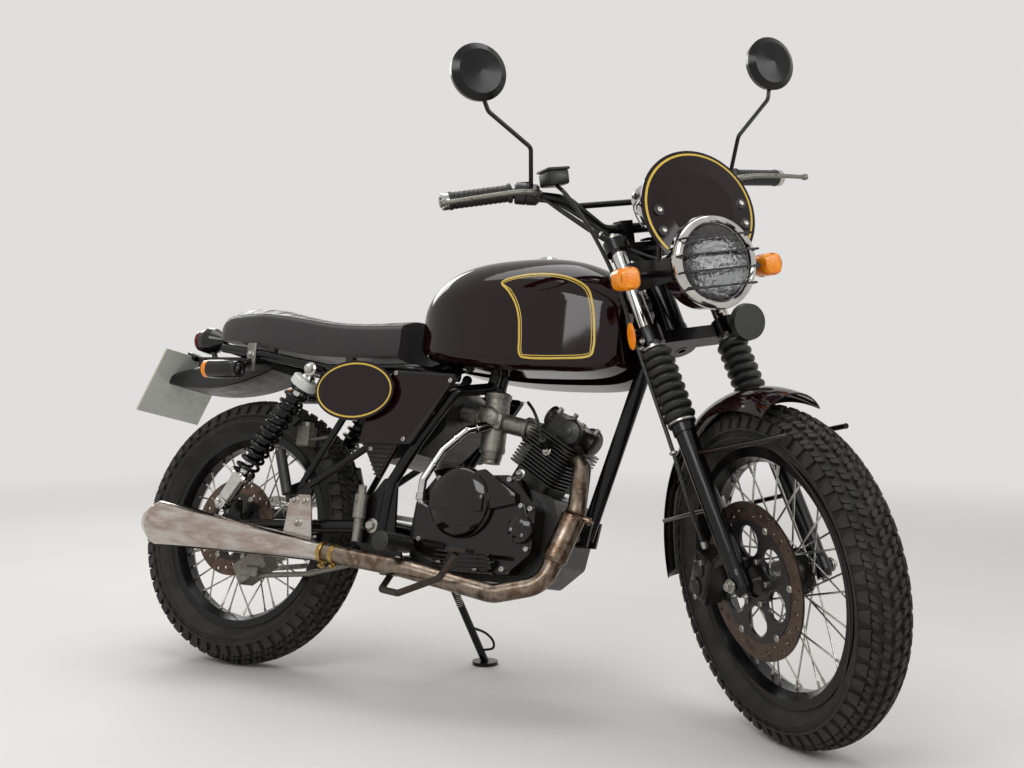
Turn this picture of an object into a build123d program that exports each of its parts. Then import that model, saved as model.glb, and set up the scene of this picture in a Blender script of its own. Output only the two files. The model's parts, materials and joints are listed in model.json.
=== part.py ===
"""Scrambler motorcycle parked on its side stand, with its handlebar turned to the right.

Every piece is drawn in the upright frame of the motorcycle: x points forward, y to the
rider's left, z up, and the origin is where the rear tyre would touch the ground with the
machine upright. At the end the steered pieces turn about the steering axis, the whole
machine leans onto its side stand, and the origin moves to the middle of its footprint.
All sizes are in millimetres.
"""
from build123d import *
from math import asin, atan2, cos, degrees, pi, radians, sin, sqrt
import os

# Chassis layout
wheelbase = 1312.0
rake = 26.3
fork_offset = 45.7
fork_half = 88.6
lean = 13.0
steering_lock = 41.0
axle_clearance = 0.05

# Wheels
tread_half_share = 0.8
tread_drop = 17.0
casing_wall = 10.0
rear_tyre_radius = 311.0
front_tyre_radius = 320.0
rear_tyre_half = 57.0
front_tyre_half = 54.5
rear_rim_seat = 17 * 25.4 / 2
front_rim_seat = 18 * 25.4 / 2
rim_half = 31.0
rim_lip = 14.5
rim_wall = 4.0
spoke_count = 36
spoke_radius = 1.9
spoke_cross = 62.0
spoke_inset = 6.0
front_axle_radius = 7.5
rear_axle_radius = 8.5
front_disc_radius = 148.0
front_disc_y = -60.0
rear_disc_radius = 112.0
rear_disc_y = -66.0
disc_thickness = 4.0
friction_width = 34.0
drill_radius = 3.6
spider_windows = 6
chain_y = 73.0
chain_pitch = 12.7
rear_teeth = 42
front_teeth = 15
chain_half_height = 6.0
chain_waist = 4.2
chain_links = 110
tooth_height = 4.0
sprocket_gap = 0.7
chain_seat = 0.3
sprocket_width = 7.0
chain_width = 15.0

# Tubes of the frame
backbone_radius = 19.0
down_tube_radius = 16.0
rail_radius = 11.0
upright_radius = 12.5
strut_radius = 8.0
head_tube_radius = 26.0
head_tube_low = 537.0
head_tube_high = 703.0
stem_radius = 13.0

# Front fork, measured along the leg from the axle
slider_radius = 20.0
slider_top = 326.0
gaiter_radius = 32.0
gaiter_top = 492.0
stanchion_radius = 16.5
stanchion_top = 745.0
lower_yoke_at = 517.0
upper_yoke_at = 727.0
yoke_thickness = 26.0

# Swingarm and its pivot
pivot_x = 428.0
pivot_z = 337.0
swingarm_y = 98.0
swingarm_radius = 15.0
plate_y = 117.0
plate_thickness = 7.0

# Side stand
stand_pivot = (462.0, 144.0, 262.0)
stand_foot = (505.0, 291.0)
stand_folded = (-0.985, 0.16, 0.06)
stand_foot_radius = 30.0
stand_foot_thickness = 8.0
stand_leg_radius = 9.0

rear_axle = Vector(0, 0, rear_tyre_radius)
front_axle = Vector(wheelbase, 0, front_tyre_radius)
steer_dir = Vector(-sin(radians(rake)), 0, cos(radians(rake)))
ahead_dir = Vector(cos(radians(rake)), 0, sin(radians(rake)))
steer_point = front_axle - ahead_dir * fork_offset
left = Vector(0, 1, 0)

nodes = {}
steered = []


def keep(name, *shapes, turns=False):
    """Store the solids of one sub-part, and say whether it turns with the handlebar."""
    solids = []
    for shape in shapes:
        solids.extend(shape.solids())
    nodes[name] = solids
    if turns:
        steered.append(name)


def trim(name, *others, least=20.0):
    """Cut other sub-parts, given by name, or shapes out of one, so that it seats against them."""
    tools = []
    for other in others:
        tools.extend(nodes[other] if isinstance(other, str) else other.solids())
    cut = []
    for solid in nodes[name]:
        box = solid.bounding_box()
        near = [t for t in tools if boxes_meet(box, t.bounding_box())]
        rest = solid - near if near else solid
        cut.extend(piece for piece in rest.solids() if piece.volume > least)
    nodes[name] = cut


def boxes_meet(one, two):
    """True where two bounding boxes overlap."""
    return all(
        low_a < high_b and low_b < high_a
        for low_a, high_a, low_b, high_b in zip(one.min, one.max, two.min, two.max)
    )


def both(shape):
    """A shape and its mirror image on the other side of the machine."""
    return shape, mirror(shape, Plane.XZ)


def fused(*shapes):
    """One body from several that meet."""
    whole = shapes[0]
    for shape in shapes[1:]:
        whole = whole + shape
    return whole


def rod(start, end, radius):
    """A round bar from one point to another."""
    start = Vector(*start)
    end = Vector(*end)
    base = Plane(origin=start, z_dir=end - start)
    return base * Cylinder(radius, (end - start).length, align=(Align.CENTER, Align.CENTER, Align.MIN))


def pipe(points, radius, bends):
    """A round tube along straight runs joined by tangent bends."""
    path = FilletPolyline(*[Vector(*p) for p in points], radius=bends)
    return sweep(Plane(origin=path @ 0, z_dir=path % 0) * Circle(radius), path=path)


def turned(start, direction, profile):
    """A turned piece: the profile holds (distance along the axis, radius)."""
    points = [(radius, along) for along, radius in profile]
    closed = [(0, profile[0][0])] + points + [(0, profile[-1][0])]
    face = make_face(Polyline(*[(x, 0, z) for x, z in closed], close=True))
    return Plane(origin=Vector(*start), z_dir=Vector(*direction)) * revolve(face, Axis.Z, 360)


def ring(start, direction, profile):
    """A turned ring: the closed profile holds (distance along the axis, radius)."""
    face = make_face(Polyline(*[(radius, 0, along) for along, radius in profile], close=True))
    return Plane(origin=Vector(*start), z_dir=Vector(*direction)) * revolve(face, Axis.Z, 360)


def side_plate(outline, y, thickness, corner=0.0):
    """A flat plate seen from the side, its outline in (x, z), growing outwards from y."""
    outward = -1 if y < 0 else 1
    plane = Plane(origin=(0, y, 0), x_dir=(1, 0, 0), z_dir=(0, -1, 0))
    face = make_face(Polyline(*outline, close=True))
    if corner:
        face = fillet(face.vertices(), corner)
    return extrude(plane * face, -outward * thickness)


def cross_section(x, half, bottom, top, round_top, round_bottom):
    """A section across the machine at x: flat sides, large top and small bottom corners."""
    low = bottom + round_bottom
    high = top - round_top
    edges = [
        Line((round_bottom - half, bottom), (half - round_bottom, bottom)),
        CenterArc((half - round_bottom, low), round_bottom, -90, 90),
        Line((half, low), (half, high)),
        CenterArc((half - round_top, high), round_top, 0, 90),
        Line((half - round_top, top), (round_top - half, top)),
        CenterArc((round_top - half, high), round_top, 90, 90),
        Line((-half, high), (-half, low)),
        CenterArc((round_bottom - half, low), round_bottom, 180, 90),
    ]
    plane = Plane(origin=(x, 0, 0), x_dir=(0, 1, 0), z_dir=(1, 0, 0))
    return plane * make_face(edges)


def lofted(rows):
    """A body through sections across the machine, from a table of cross_section rows."""
    return loft([cross_section(*row) for row in rows])


def on_axis(distance):
    """A point on the steering axis."""
    return steer_point + steer_dir * distance


def on_leg(distance, y):
    """A point on a fork leg, at a distance from the axle."""
    return front_axle + steer_dir * distance + left * y


def crown_radius(half, drop):
    """Radius of the arc over the tread, from its half width and its drop at the shoulder."""
    return (half * half + drop * drop) / (2 * drop)


def steered_point(point):
    """Where a point of the steered pieces is once the handlebar is on its right stop."""
    return rotated(point - steer_point, steer_dir, -steering_lock) + steer_point


def rotated(vector, axis, angle):
    """A vector turned about an axis through the origin, by Rodrigues' formula."""
    turn = radians(angle)
    unit = axis.normalized()
    return vector * cos(turn) + unit.cross(vector) * sin(turn) + unit * (unit.dot(vector) * (1 - cos(turn)))


def parked_dir(vector, pitch):
    """A direction once the machine has pitched and leaned."""
    return rotated(rotated(vector, Vector(0, 1, 0), pitch), Vector(1, 0, 0), -lean)


def lowest(centre, axle, radius, half, pitch):
    """Height of the lowest point of a tyre, from its centre, axle direction and tread arc."""
    arc = crown_radius(half * tread_half_share, tread_drop)
    tilt = parked_dir(axle, pitch).Z
    return parked_dir(centre, pitch).Z - (radius - arc) * sqrt(1 - tilt * tilt) - arc


# How it parks: the pitch at which both tyres touch the ground under the lean
front_centre = steered_point(front_axle)
front_axle_dir = rotated(left, steer_dir, -steering_lock)
pitch = 0.0
for _ in range(8):
    rear_low = lowest(rear_axle, left, rear_tyre_radius, rear_tyre_half, pitch)
    front_low = lowest(front_centre, front_axle_dir, front_tyre_radius, front_tyre_half, pitch)
    pitch += degrees((front_low - rear_low) / wheelbase)
drop = lowest(rear_axle, left, rear_tyre_radius, rear_tyre_half, pitch)


def tyre(centre, radius, half, seat):
    """A tyre casing out to its tread blocks, hollow, seated on the rim."""
    lip = seat + rim_lip
    bead = rim_half - rim_wall
    wall = casing_wall
    shoulder = (half * tread_half_share, radius - tread_drop)
    middle = (half, (lip + radius - tread_drop) / 2)
    inner_shoulder = (shoulder[0] - wall, shoulder[1] - wall)
    inner_middle = (half - wall, middle[1])
    edges = []
    for side in (1, -1):
        edges += [
            Line((side * bead, seat), (side * bead, lip)),
            ThreePointArc(
                (side * bead, lip), (side * middle[0], middle[1]), (side * shoulder[0], shoulder[1])
            ),
            Line((side * bead, seat), (side * (bead - wall), seat)),
            Line((side * (bead - wall), seat), (side * (bead - wall), lip)),
            ThreePointArc(
                (side * (bead - wall), lip),
                (side * inner_middle[0], inner_middle[1]),
                (side * inner_shoulder[0], inner_shoulder[1]),
            ),
        ]
    edges.append(ThreePointArc(shoulder, (0, radius), (-shoulder[0], shoulder[1])))
    edges.append(
        ThreePointArc(inner_shoulder, (0, radius - wall - 4), (-inner_shoulder[0], inner_shoulder[1]))
    )
    face = make_face(edges)
    return Pos(centre) * revolve(Plane.YZ * face, Axis.Y, 360)


def rim(centre, seat):
    """A drop-centre rim."""
    lip = seat + rim_lip
    bead = rim_half - rim_wall
    profile = [
        (-rim_half, lip), (-bead, lip), (-bead, seat), (-14, seat), (-10, seat - 9), (10, seat - 9),
        (14, seat), (bead, seat), (bead, lip), (rim_half, lip), (rim_half, seat - 3), (13, seat - 15),
        (-13, seat - 15), (-rim_half, seat - 3),
    ]
    return ring(centre, left, profile)


def laced_hub(centre, seat, bore, right, left_end, flange, barrel):
    """A hub with two flanges and its laced spokes, from (along, radius) of the hub."""
    right_flange = right + 8
    left_flange = left_end - 8
    profile = [
        (right, bore), (right, barrel), (right_flange - 3, flange), (right_flange + 3, flange),
        (right_flange + 8, barrel), (left_flange - 8, barrel), (left_flange - 3, flange),
        (left_flange + 3, flange), (left_end, barrel), (left_end, bore),
    ]
    hub = ring(centre, left, profile)
    spokes = []
    for number in range(spoke_count):
        angle = 2 * pi * number / spoke_count
        side = 1 if number % 2 else -1
        pull = 1 if (number // 2) % 2 else -1
        flange_y = left_flange if side > 0 else right_flange
        foot_angle = angle + pull * radians(spoke_cross)
        reach = flange - spoke_inset
        foot = centre + Vector(reach * cos(foot_angle), flange_y + pull * 2.2, reach * sin(foot_angle))
        tip = centre + Vector((seat - 16) * cos(angle), side * 5, (seat - 16) * sin(angle))
        spokes.append(rod(foot, tip, spoke_radius))
    return hub + spokes


def brake_disc(centre, y, radius, hub_radius, holes):
    """A drilled brake disc on a lighter spider."""
    inner = radius - friction_width
    outer_ring = ring(centre, left, [
        (y - disc_thickness / 2, inner), (y - disc_thickness / 2, radius),
        (y + disc_thickness / 2, radius), (y + disc_thickness / 2, inner),
    ])
    drills = []
    for number in range(holes):
        angle = 2 * pi * number / holes
        row = radius - (9, 17, 25)[number % 3]
        drill = Cylinder(drill_radius, 3 * disc_thickness)
        drills.append(Pos(centre + Vector(row * cos(angle), y, row * sin(angle))) * Rot(90, 0, 0) * drill)
    disc = outer_ring - drills
    spider = ring(centre, left, [(y - 3, hub_radius), (y - 3, inner), (y + 3, inner), (y + 3, hub_radius)])
    windows = []
    for number in range(spider_windows):
        angle = 2 * pi * (number + 0.5) / spider_windows
        middle = (hub_radius + 14 + inner - 8) / 2
        windows.append(
            Pos(centre + Vector(middle * cos(angle), y, middle * sin(angle)))
            * Rot(90, 0, 0) * Cylinder((inner - hub_radius - 26) / 2, 20)
        )
    return disc, spider - windows


# Wheels: casing, rim, laced hub and brake disc of each
front_hub_right = front_disc_y + 3
front_hub_left = 52.0
keep("front_tyre", tyre(front_axle, front_tyre_radius, front_tyre_half, front_rim_seat))
keep("front_rim", rim(front_axle, front_rim_seat))
keep("front_spokes", laced_hub(
    front_axle, front_rim_seat, front_axle_radius + axle_clearance, front_hub_right, front_hub_left, 44, 28))
front_ring, front_spider = brake_disc(front_axle, front_disc_y, front_disc_radius, 30, 36)
keep("front_disc", front_ring + front_spider)

rear_hub_right = rear_disc_y + 3
rear_hub_left = chain_y - 5
keep("rear_tyre", tyre(rear_axle, rear_tyre_radius, rear_tyre_half, rear_rim_seat))
keep("rear_rim", rim(rear_axle, rear_rim_seat))
keep("rear_spokes", laced_hub(
    rear_axle, rear_rim_seat, rear_axle_radius + axle_clearance, rear_hub_right, rear_hub_left, 58, 38))
rear_ring, rear_spider = brake_disc(rear_axle, rear_disc_y, rear_disc_radius, 30, 30)
keep("rear_disc", rear_ring + rear_spider)

def pitch_radius(teeth):
    """Pitch circle of a chain wheel."""
    return chain_pitch / (2 * sin(pi / teeth))


# Chain drive: two toothed wheels and one loop of chain that clears them
front_sprocket_x = 516.0
front_sprocket_z = 331.0
rear_pitch = pitch_radius(rear_teeth)
front_pitch = pitch_radius(front_teeth)


def loop_point(distance, grow):
    """A point of the chain's pitch line, moved outwards, from its distance round the loop."""
    across = front_sprocket_x
    rise = front_sprocket_z - rear_tyre_radius
    span = sqrt(across * across + rise * rise)
    tilt = asin((rear_pitch - front_pitch) / span)
    line_angle = atan2(rise, across)
    top = line_angle + pi / 2 - tilt
    bottom = line_angle - pi / 2 + tilt
    run = span * cos(tilt)
    front_wrap = front_pitch * (pi - 2 * tilt)
    rear_wrap = rear_pitch * (pi + 2 * tilt)
    distance = distance * (2 * run + front_wrap + rear_wrap)
    if distance < run:
        reach, angle, x, z = rear_pitch + grow, top, 0, rear_tyre_radius
        slide = distance
    elif distance < run + front_wrap:
        wrapped = distance - run
        reach, angle, x, z = front_pitch + grow, top - wrapped / front_pitch, across, front_sprocket_z
        slide = 0
    elif distance < 2 * run + front_wrap:
        reach, angle, x, z = front_pitch + grow, bottom, across, front_sprocket_z
        slide = distance - run - front_wrap
    else:
        wrapped = distance - 2 * run - front_wrap
        reach, angle, x, z = rear_pitch + grow, bottom - wrapped / rear_pitch, 0, rear_tyre_radius
        slide = 0
    return (x + reach * cos(angle) + slide * sin(angle), z + reach * sin(angle) - slide * cos(angle))


def link_outline(side):
    """One edge of the chain: as wide as a link plate at each pin and narrower between them."""
    points = []
    for number in range(2 * chain_links):
        grow = chain_waist if number % 2 else chain_half_height
        points.append(loop_point(number / (2 * chain_links), side * grow))
    return make_face(Polyline(*points, close=True))


chain_plane = Plane(origin=(0, chain_y + chain_width / 2, 0), x_dir=(1, 0, 0), z_dir=(0, -1, 0))
keep("chain", extrude(chain_plane * (link_outline(1) - link_outline(-1)), chain_width))


def chain_wheel(centre, teeth, gap, bore):
    """A toothed chain wheel, its teeth a gap away from the chain's pins."""
    tip = pitch_radius(teeth) - chain_half_height - gap
    root = tip - tooth_height
    points = []
    for number in range(teeth):
        for share, radius in ((-0.32, root), (-0.14, tip), (0.14, tip), (0.32, root)):
            angle = 2 * pi * (number + share) / teeth
            points.append((radius * cos(angle), radius * sin(angle)))
    plane = Plane(origin=centre + left * (chain_y + sprocket_width / 2), x_dir=(1, 0, 0), z_dir=(0, -1, 0))
    return extrude(plane * (make_face(Polyline(*points, close=True)) - Circle(bore)), sprocket_width)


window_circle = 60.0
window_count = 6
sprocket_windows = []
for number in range(window_count):
    angle = 2 * pi * (number + 0.5) / window_count
    at = rear_axle + Vector(window_circle * cos(angle), chain_y, window_circle * sin(angle))
    sprocket_windows.append(Pos(at) * Rot(90, 0, 0) * Cylinder(11, 30))
rear_wheel_blank = chain_wheel(rear_axle, rear_teeth, sprocket_gap, rear_axle_radius + axle_clearance)
keep("rear_sprocket", rear_wheel_blank - sprocket_windows)

# Frame tubes: the head tube with its collars, backbone, down tube and rails
head_collar = 14.0
head_blank = turned(steer_point, steer_dir, [
    (head_tube_low, head_tube_radius + 2), (head_tube_low + head_collar, head_tube_radius + 2),
    (head_tube_low + head_collar, head_tube_radius), (head_tube_high - head_collar, head_tube_radius),
    (head_tube_high - head_collar, head_tube_radius + 2), (head_tube_high, head_tube_radius + 2),
])
head_bore = rod(on_axis(head_tube_low - 1), on_axis(head_tube_high + 1), stem_radius + axle_clearance)
backbone_start = on_axis(618)
backbone_end = (440.0, 0.0, 688.0)
backbone = pipe([tuple(backbone_start), (700, 0, 768), backbone_end], backbone_radius, 200) - head_blank
down_tube_foot = (878.0, 0.0, 352.0)
down_tube = rod(on_axis(600), down_tube_foot, down_tube_radius)
keep("head_frame", fused(head_blank, down_tube) - head_bore - backbone)

rail_route = [
    (536, 16, 684), (470, 104, 684), (242, 108, 681), (30, 104, 716), (-100, 86, 735),
]
rail_cross_x = backbone_end[0] - 8
rail_cross = rod((rail_cross_x, -100, 684), (rail_cross_x, 100, 684), rail_radius)
tail_cross = rod((-80, -86, 732), (-80, 86, 732), rail_radius - 1)
keep("main_frame", fused(backbone, *both(pipe(rail_route, rail_radius, 40)), rail_cross, tail_cross))

upright_route = [
    (640, 16, 742), (624, 17, 660), (588, 108, 634), (520, plate_y, 528), (462, plate_y, 430),
    (450, plate_y, 292),
]
plate_outline = [
    (392, 300), (466, 236), (512, 236), (512, 282), (488, 330), (478, 440), (446, 440), (395, 372),
]
upright = pipe(upright_route, upright_radius, [18, 22, 40, 40])
pivot_plate = side_plate(plate_outline, plate_y - plate_thickness / 2, plate_thickness, 8)

# Side stand, hinged in a forked lug on the left pivot plate
ground_up = rotated(rotated(Vector(0, 0, 1), Vector(1, 0, 0), lean), Vector(0, 1, 0), -pitch)
over_ground = parked_dir(Vector(*stand_foot, 0), pitch).Z - drop
foot = Vector(*stand_foot, -over_ground / parked_dir(Vector(0, 0, 1), pitch).Z)
hinge = Vector(*stand_pivot)
down_dir = (foot - hinge).normalized()
up_dir = Vector(*stand_folded).normalized()
stand_axis = down_dir.cross(up_dir).normalized()
stand_swing = degrees(atan2(down_dir.cross(up_dir).length, down_dir.dot(up_dir)))
stand_boss_radius = 15.0
stand_boss_half = 9.5
lug_gap = 0.5
lug_wall = 6.0
lug_reach = 36.0
free_dir = (down_dir + up_dir).normalized() * -1
lug_plane = Plane(origin=hinge, x_dir=free_dir, z_dir=stand_axis)
lug_half = stand_boss_half + lug_gap + lug_wall
stand_lug = lug_plane * (
    Cylinder(stand_boss_radius, 2 * lug_half)
    + Pos(lug_reach / 2, 0, 0) * Box(lug_reach, 2 * stand_boss_radius, 2 * lug_half)
    - Cylinder(stand_boss_radius + 3, 2 * (stand_boss_half + lug_gap))
    + Cylinder(5, 2 * lug_half)
)
keep("side_stand", fused(
    rod(hinge, foot + ground_up * 6, stand_leg_radius),
    rod(hinge - stand_axis * stand_boss_half, hinge + stand_axis * stand_boss_half, stand_boss_radius),
    rod(foot, foot + ground_up * stand_foot_thickness, stand_foot_radius),
) - rod(hinge - stand_axis * 20, hinge + stand_axis * 20, 5 + axle_clearance))
right_upright = mirror(upright + pivot_plate, Plane.XZ)
keep("rear_uprights", right_upright, fused(upright, pivot_plate, stand_lug))
trim("rear_uprights", "main_frame")

strut_y = 124.0
strut_foot = (214.0, 392.0)
strut_tubes = fused(
    rod((strut_foot[0], strut_y, strut_foot[1]), (372, strut_y - 14, 684), strut_radius),
    rod((strut_foot[0], strut_y, strut_foot[1]), (540, strut_y - 6, 602), strut_radius),
    side_plate([(190, 372), (250, 372), (262, 404), (232, 424), (196, 410)], strut_y - 4, 8, 6),
)
keep("peg_struts", *both(strut_tubes))
trim("peg_struts", "main_frame", "rear_uprights")

# Swingarm with its pivot tube, shock lugs and axle blocks
axle_z = rear_tyre_radius
swing_leg = rod((pivot_x, swingarm_y, pivot_z), (24, swingarm_y, axle_z + 2), swingarm_radius)
block_outline = [
    (-48, axle_z - 21), (40, axle_z - 27), (60, axle_z - 11), (60, axle_z + 13), (40, axle_z + 25),
    (-48, axle_z + 21),
]
axle_block = side_plate(block_outline, swingarm_y - 8, 16, 6)
lug_outline = [(2, axle_z + 14), (46, axle_z + 14), (34, axle_z + 63), (10, axle_z + 63)]
shock_lug = side_plate(lug_outline, swingarm_y - 5, 10, 5)
pivot_end = plate_y - plate_thickness / 2
pivot_tube = rod((pivot_x, -pivot_end, pivot_z), (pivot_x, pivot_end, pivot_z), 19)
brace = rod((352, -swingarm_y, 333), (352, swingarm_y, 333), 13)
keep("swingarm", fused(*both(swing_leg + axle_block + shock_lug), pivot_tube, brace))

axle_reach = swingarm_y + 22
keep("rear_axle", fused(
    rod((0, -axle_reach, rear_tyre_radius), (0, axle_reach, rear_tyre_radius), rear_axle_radius),
    *both(rod((0, swingarm_y + 8, rear_tyre_radius), (0, swingarm_y + 18, rear_tyre_radius), 14)),
))
trim("swingarm", "rear_axle", "rear_uprights")

# Shocks: chrome body and cap, with the coil round them
shock_y = 137.0
shock_top = Vector(224, shock_y, 672)
shock_foot = Vector(18, shock_y, axle_z + 50)
shock_dir = (shock_foot - shock_top).normalized()
shock_length = (shock_foot - shock_top).length
coil_start = 44.0
coil_end = shock_length - 84.0
coil_turns = 11
coil_radius = 27.0
coil_wire = 4.2
shock_body = turned(shock_top, shock_dir, [
    (-6, 12), (14, 12), (16, 20), (26, 31), (44, 31), (44, 15), (coil_end, 15), (coil_end, 30),
    (coil_end + 10, 30), (coil_end + 22, 18), (shock_length - 10, 16), (shock_length + 6, 11),
])
shock_eyes = fused(*[
    rod(point - left * 13, point + left * 13, 15) for point in (shock_top, shock_foot)
])
stud_length = 22.0
shock_studs = fused(
    rod((shock_top.X, 100, shock_top.Z), shock_top + left * stud_length, 7),
    rod((shock_foot.X, swingarm_y, shock_foot.Z), shock_foot + left * stud_length, 7),
)
shock = fused(shock_body, shock_eyes, shock_studs)
coil_pitch = (coil_end - coil_start) / coil_turns
coil_profile = [(coil_start, 13)]
for turn in range(coil_turns):
    middle = coil_start + coil_pitch * (turn + 0.5)
    coil_profile += [
        (middle - coil_pitch / 2, 20), (middle - coil_wire, coil_radius), (middle + coil_wire, coil_radius),
    ]
coil_profile += [(coil_end, 20), (coil_end, 13)]
keep("rear_shocks", *both(fused(shock, ring(shock_top, shock_dir, coil_profile))))
trim("rear_shocks", "main_frame", "swingarm")

# Engine: crankcase, covers, inclined cylinder with fins, carburettor
crankcase_half = 82.0
case_outline = [
    (520, 262), (560, 246), (790, 246), (842, 292), (856, 372), (838, 424), (700, 462), (560, 452),
    (508, 400), (500, 300),
]
case_plane = Plane(origin=(0, crankcase_half, 0), x_dir=(1, 0, 0), z_dir=(0, -1, 0))
case_face = fillet(make_face(Polyline(*case_outline, close=True)).vertices(), 16)
crankcase = extrude(case_plane * case_face, 2 * crankcase_half)
engine_mounts = side_plate([(822, 404), (842, 336), (892, 336), (900, 388)], down_tube_radius + 0.05, 8)
mount_bolt = rod((870, -down_tube_radius - 14, 352), (870, down_tube_radius + 14, 352), 6)
rear_mounts = rod((505, -plate_y + plate_thickness / 2, 268), (505, plate_y - plate_thickness / 2, 268), 12)
chain_pocket = Pos(500, chain_y + 15, 331) * Box(150, 54, 130)
output_shaft_radius = 12.0
output_centre = Vector(front_sprocket_x, 0, front_sprocket_z)
shaft_end = chain_y + chain_width / 2 + 1
output_shaft = rod(output_centre + left * 50, output_centre + left * shaft_end, output_shaft_radius)
front_wheel_blank = chain_wheel(output_centre, front_teeth, chain_seat, output_shaft_radius - 1)
keep("crankcase", fused(
    crankcase - chain_pocket, *both(engine_mounts), mount_bolt, rear_mounts, output_shaft, front_wheel_blank))
trim("crankcase", "rear_uprights", "head_frame")
clutch_centre = (650.0, 400.0)
clutch_radius = 70.0
clutch_cover = 42.0
dynamo_cover = 28.0
cover_face = crankcase_half + clutch_cover
sump_rib_count = 5
sump_rib_pitch = 9.0
sump_ribs = [
    Pos(668, -cover_face - 2, 262 + sump_rib_pitch * number) * Box(150 - 6 * number, 12, 4)
    for number in range(sump_rib_count)
]
lobe = [(786, 374), (788, 404), (800, 404), (812, 374)]
right_cover = [(540, 300), (610, 262), (770, 262), (822, 310), (822, 400), (760, 462), (580, 452), (540, 400)]
clutch_side = fused(
    side_plate(right_cover, -crankcase_half, clutch_cover, 24),
    turned((clutch_centre[0], -cover_face, clutch_centre[1]), (0, -1, 0), [
        (0, clutch_radius), (12, clutch_radius), (20, clutch_radius - 8), (24, 44), (25, 0.5),
    ]),
    Pos(clutch_centre[0], -cover_face - 14, clutch_centre[1]) * Box(124, 26, 36),
    turned((796, -cover_face, 354), (0, -1, 0), [(0, 27), (10, 27), (14, 20), (14, 0.5)]),
    side_plate(lobe, -cover_face + 1, 9, 4),
    *sump_ribs,
)
left_cover = [(484, 290), (620, 262), (770, 262), (826, 310), (826, 400), (770, 450), (600, 440), (484, 392)]
dynamo_side = fused(
    side_plate(left_cover, crankcase_half, dynamo_cover, 24),
    turned((720, crankcase_half + dynamo_cover, 362), (0, 1, 0), [(0, 82), (16, 82), (26, 68), (26, 0.5)]),
)
keep("engine_covers", clutch_side, dynamo_side)

cylinder_lean = 30.0
cylinder_base = Vector(744, 0, 440)
barrel_skirt = 38.0
barrel_dir = Vector(sin(radians(cylinder_lean)), 0, cos(radians(cylinder_lean)))
barrel_front = Vector(barrel_dir.Z, 0, -barrel_dir.X)
barrel_plane = Plane(origin=cylinder_base, x_dir=(0, 1, 0), z_dir=barrel_dir)
fin_pitch = 7.5
fin_thickness = 2.6
barrel_fins = 7
head_fins = 6


def finned_block(start, count, core_y, core_x, fin_y, fin_x):
    """A rounded core with evenly pitched flat fins round it."""
    height = count * fin_pitch
    core = barrel_plane * Pos(0, 0, start) * extrude(RectangleRounded(core_y, core_x, 14), height)
    fin = extrude(RectangleRounded(fin_y, fin_x, 18), fin_thickness)
    fins = [barrel_plane * Pos(0, 0, start + fin_pitch * n + fin_thickness) * fin for n in range(count)]
    return fused(core, *fins)


skirt = barrel_plane * extrude(RectangleRounded(96, 92, 14), barrel_skirt)
keep("cylinder", fused(skirt, finned_block(barrel_skirt, barrel_fins, 92, 88, 134, 124)))
head_start = barrel_skirt + barrel_fins * fin_pitch
head_length = head_fins * fin_pitch
rocker_start = head_start + head_length
rocker_cover = barrel_plane * Pos(0, 0, rocker_start) * extrude(RectangleRounded(96, 92, 20), 40)
tappet_caps = [
    rod(cylinder_base + barrel_dir * (rocker_start + 20) + barrel_front * sx * 36,
        cylinder_base + barrel_dir * (rocker_start + 22) + barrel_front * sx * 62, 21)
    for sx in (-1, 1)
]
head_block = finned_block(head_start, head_fins, 96, 96, 138, 118)
keep("cylinder_head", fused(head_block, rocker_cover, *tappet_caps))
trim("cylinder", "crankcase")

# Carburettor on its sloping inlet, with the chrome air pipe that sweeps down round the clutch cover
carb_body = fused(
    rod((766, -14, 566), (560, -14, 604), 20),
    rod((640, -14, 520), (640, -14, 640), 27),
    rod((640, -14, 496), (640, -14, 524), 20),
)
air_route = [
    (652, -30, 580), (617, -90, 556), (578, -112, 508), (552, -132, 441), (552, -132, 396), (566, -112, 388),
]
air_pipe = pipe(air_route, 8, [18, 18, 18, 9])
keep("carburettor", fused(carb_body, air_pipe))
trim("carburettor", "cylinder_head", "cylinder", "engine_covers")

# Exhaust: header sweeping round to the right, then the megaphone silencer and its hanger
header_radius = 19.0
header_route = [
    (806, -14, 534), (872, -38, 500), (889, -76, 404), (850, -112, 250), (752, -134, 222), (548, -166, 254),
]
sleeve_run = (Vector(*header_route[3]) - Vector(*header_route[2])).normalized()
sleeve_start = Vector(*header_route[2]) + sleeve_run * 6
sleeve_length = 112.0
sleeve_radius = 25.0
silencer_front = Vector(352, -170, 269)
silencer_rear = Vector(-160, -170, 303)
silencer_dir = (silencer_rear - silencer_front).normalized()
silencer_length = (silencer_rear - silencer_front).length
header = pipe(header_route + [tuple(silencer_front)], header_radius, [26, 60, 60, 60, 60])
sleeve = turned(sleeve_start, sleeve_run, [
    (0, header_radius - 2), (10, sleeve_radius), (sleeve_length - 10, sleeve_radius),
    (sleeve_length, header_radius - 2),
])
air_stub = rod(sleeve_start + sleeve_run * 4, sleeve_start + sleeve_run * 4 + Vector(34, 6, -12), 6)
head_flange = rod((834, -23, 520), (846, -27, 514), 29)
keep("exhaust_header", fused(header, sleeve, air_stub, head_flange))
trim("exhaust_header", "cylinder_head", "cylinder", "crankcase", least=2000.0)
silencer_profile = [
    (0, header_radius + 0.1), (0, header_radius + 2.5), (30, header_radius + 3), (silencer_length - 30, 51),
    (silencer_length - 26, 50), (silencer_length, 34), (silencer_length, 30), (silencer_length - 26, 44),
    (silencer_length - 120, 40), (60, header_radius + 0.1),
]
silencer_blank = turned(silencer_front, silencer_dir, silencer_profile[1:6])
hanger = side_plate([(200, 300), (282, 292), (262, 392), (206, 392)], -strut_y - 4.05, 5, 4)
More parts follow.
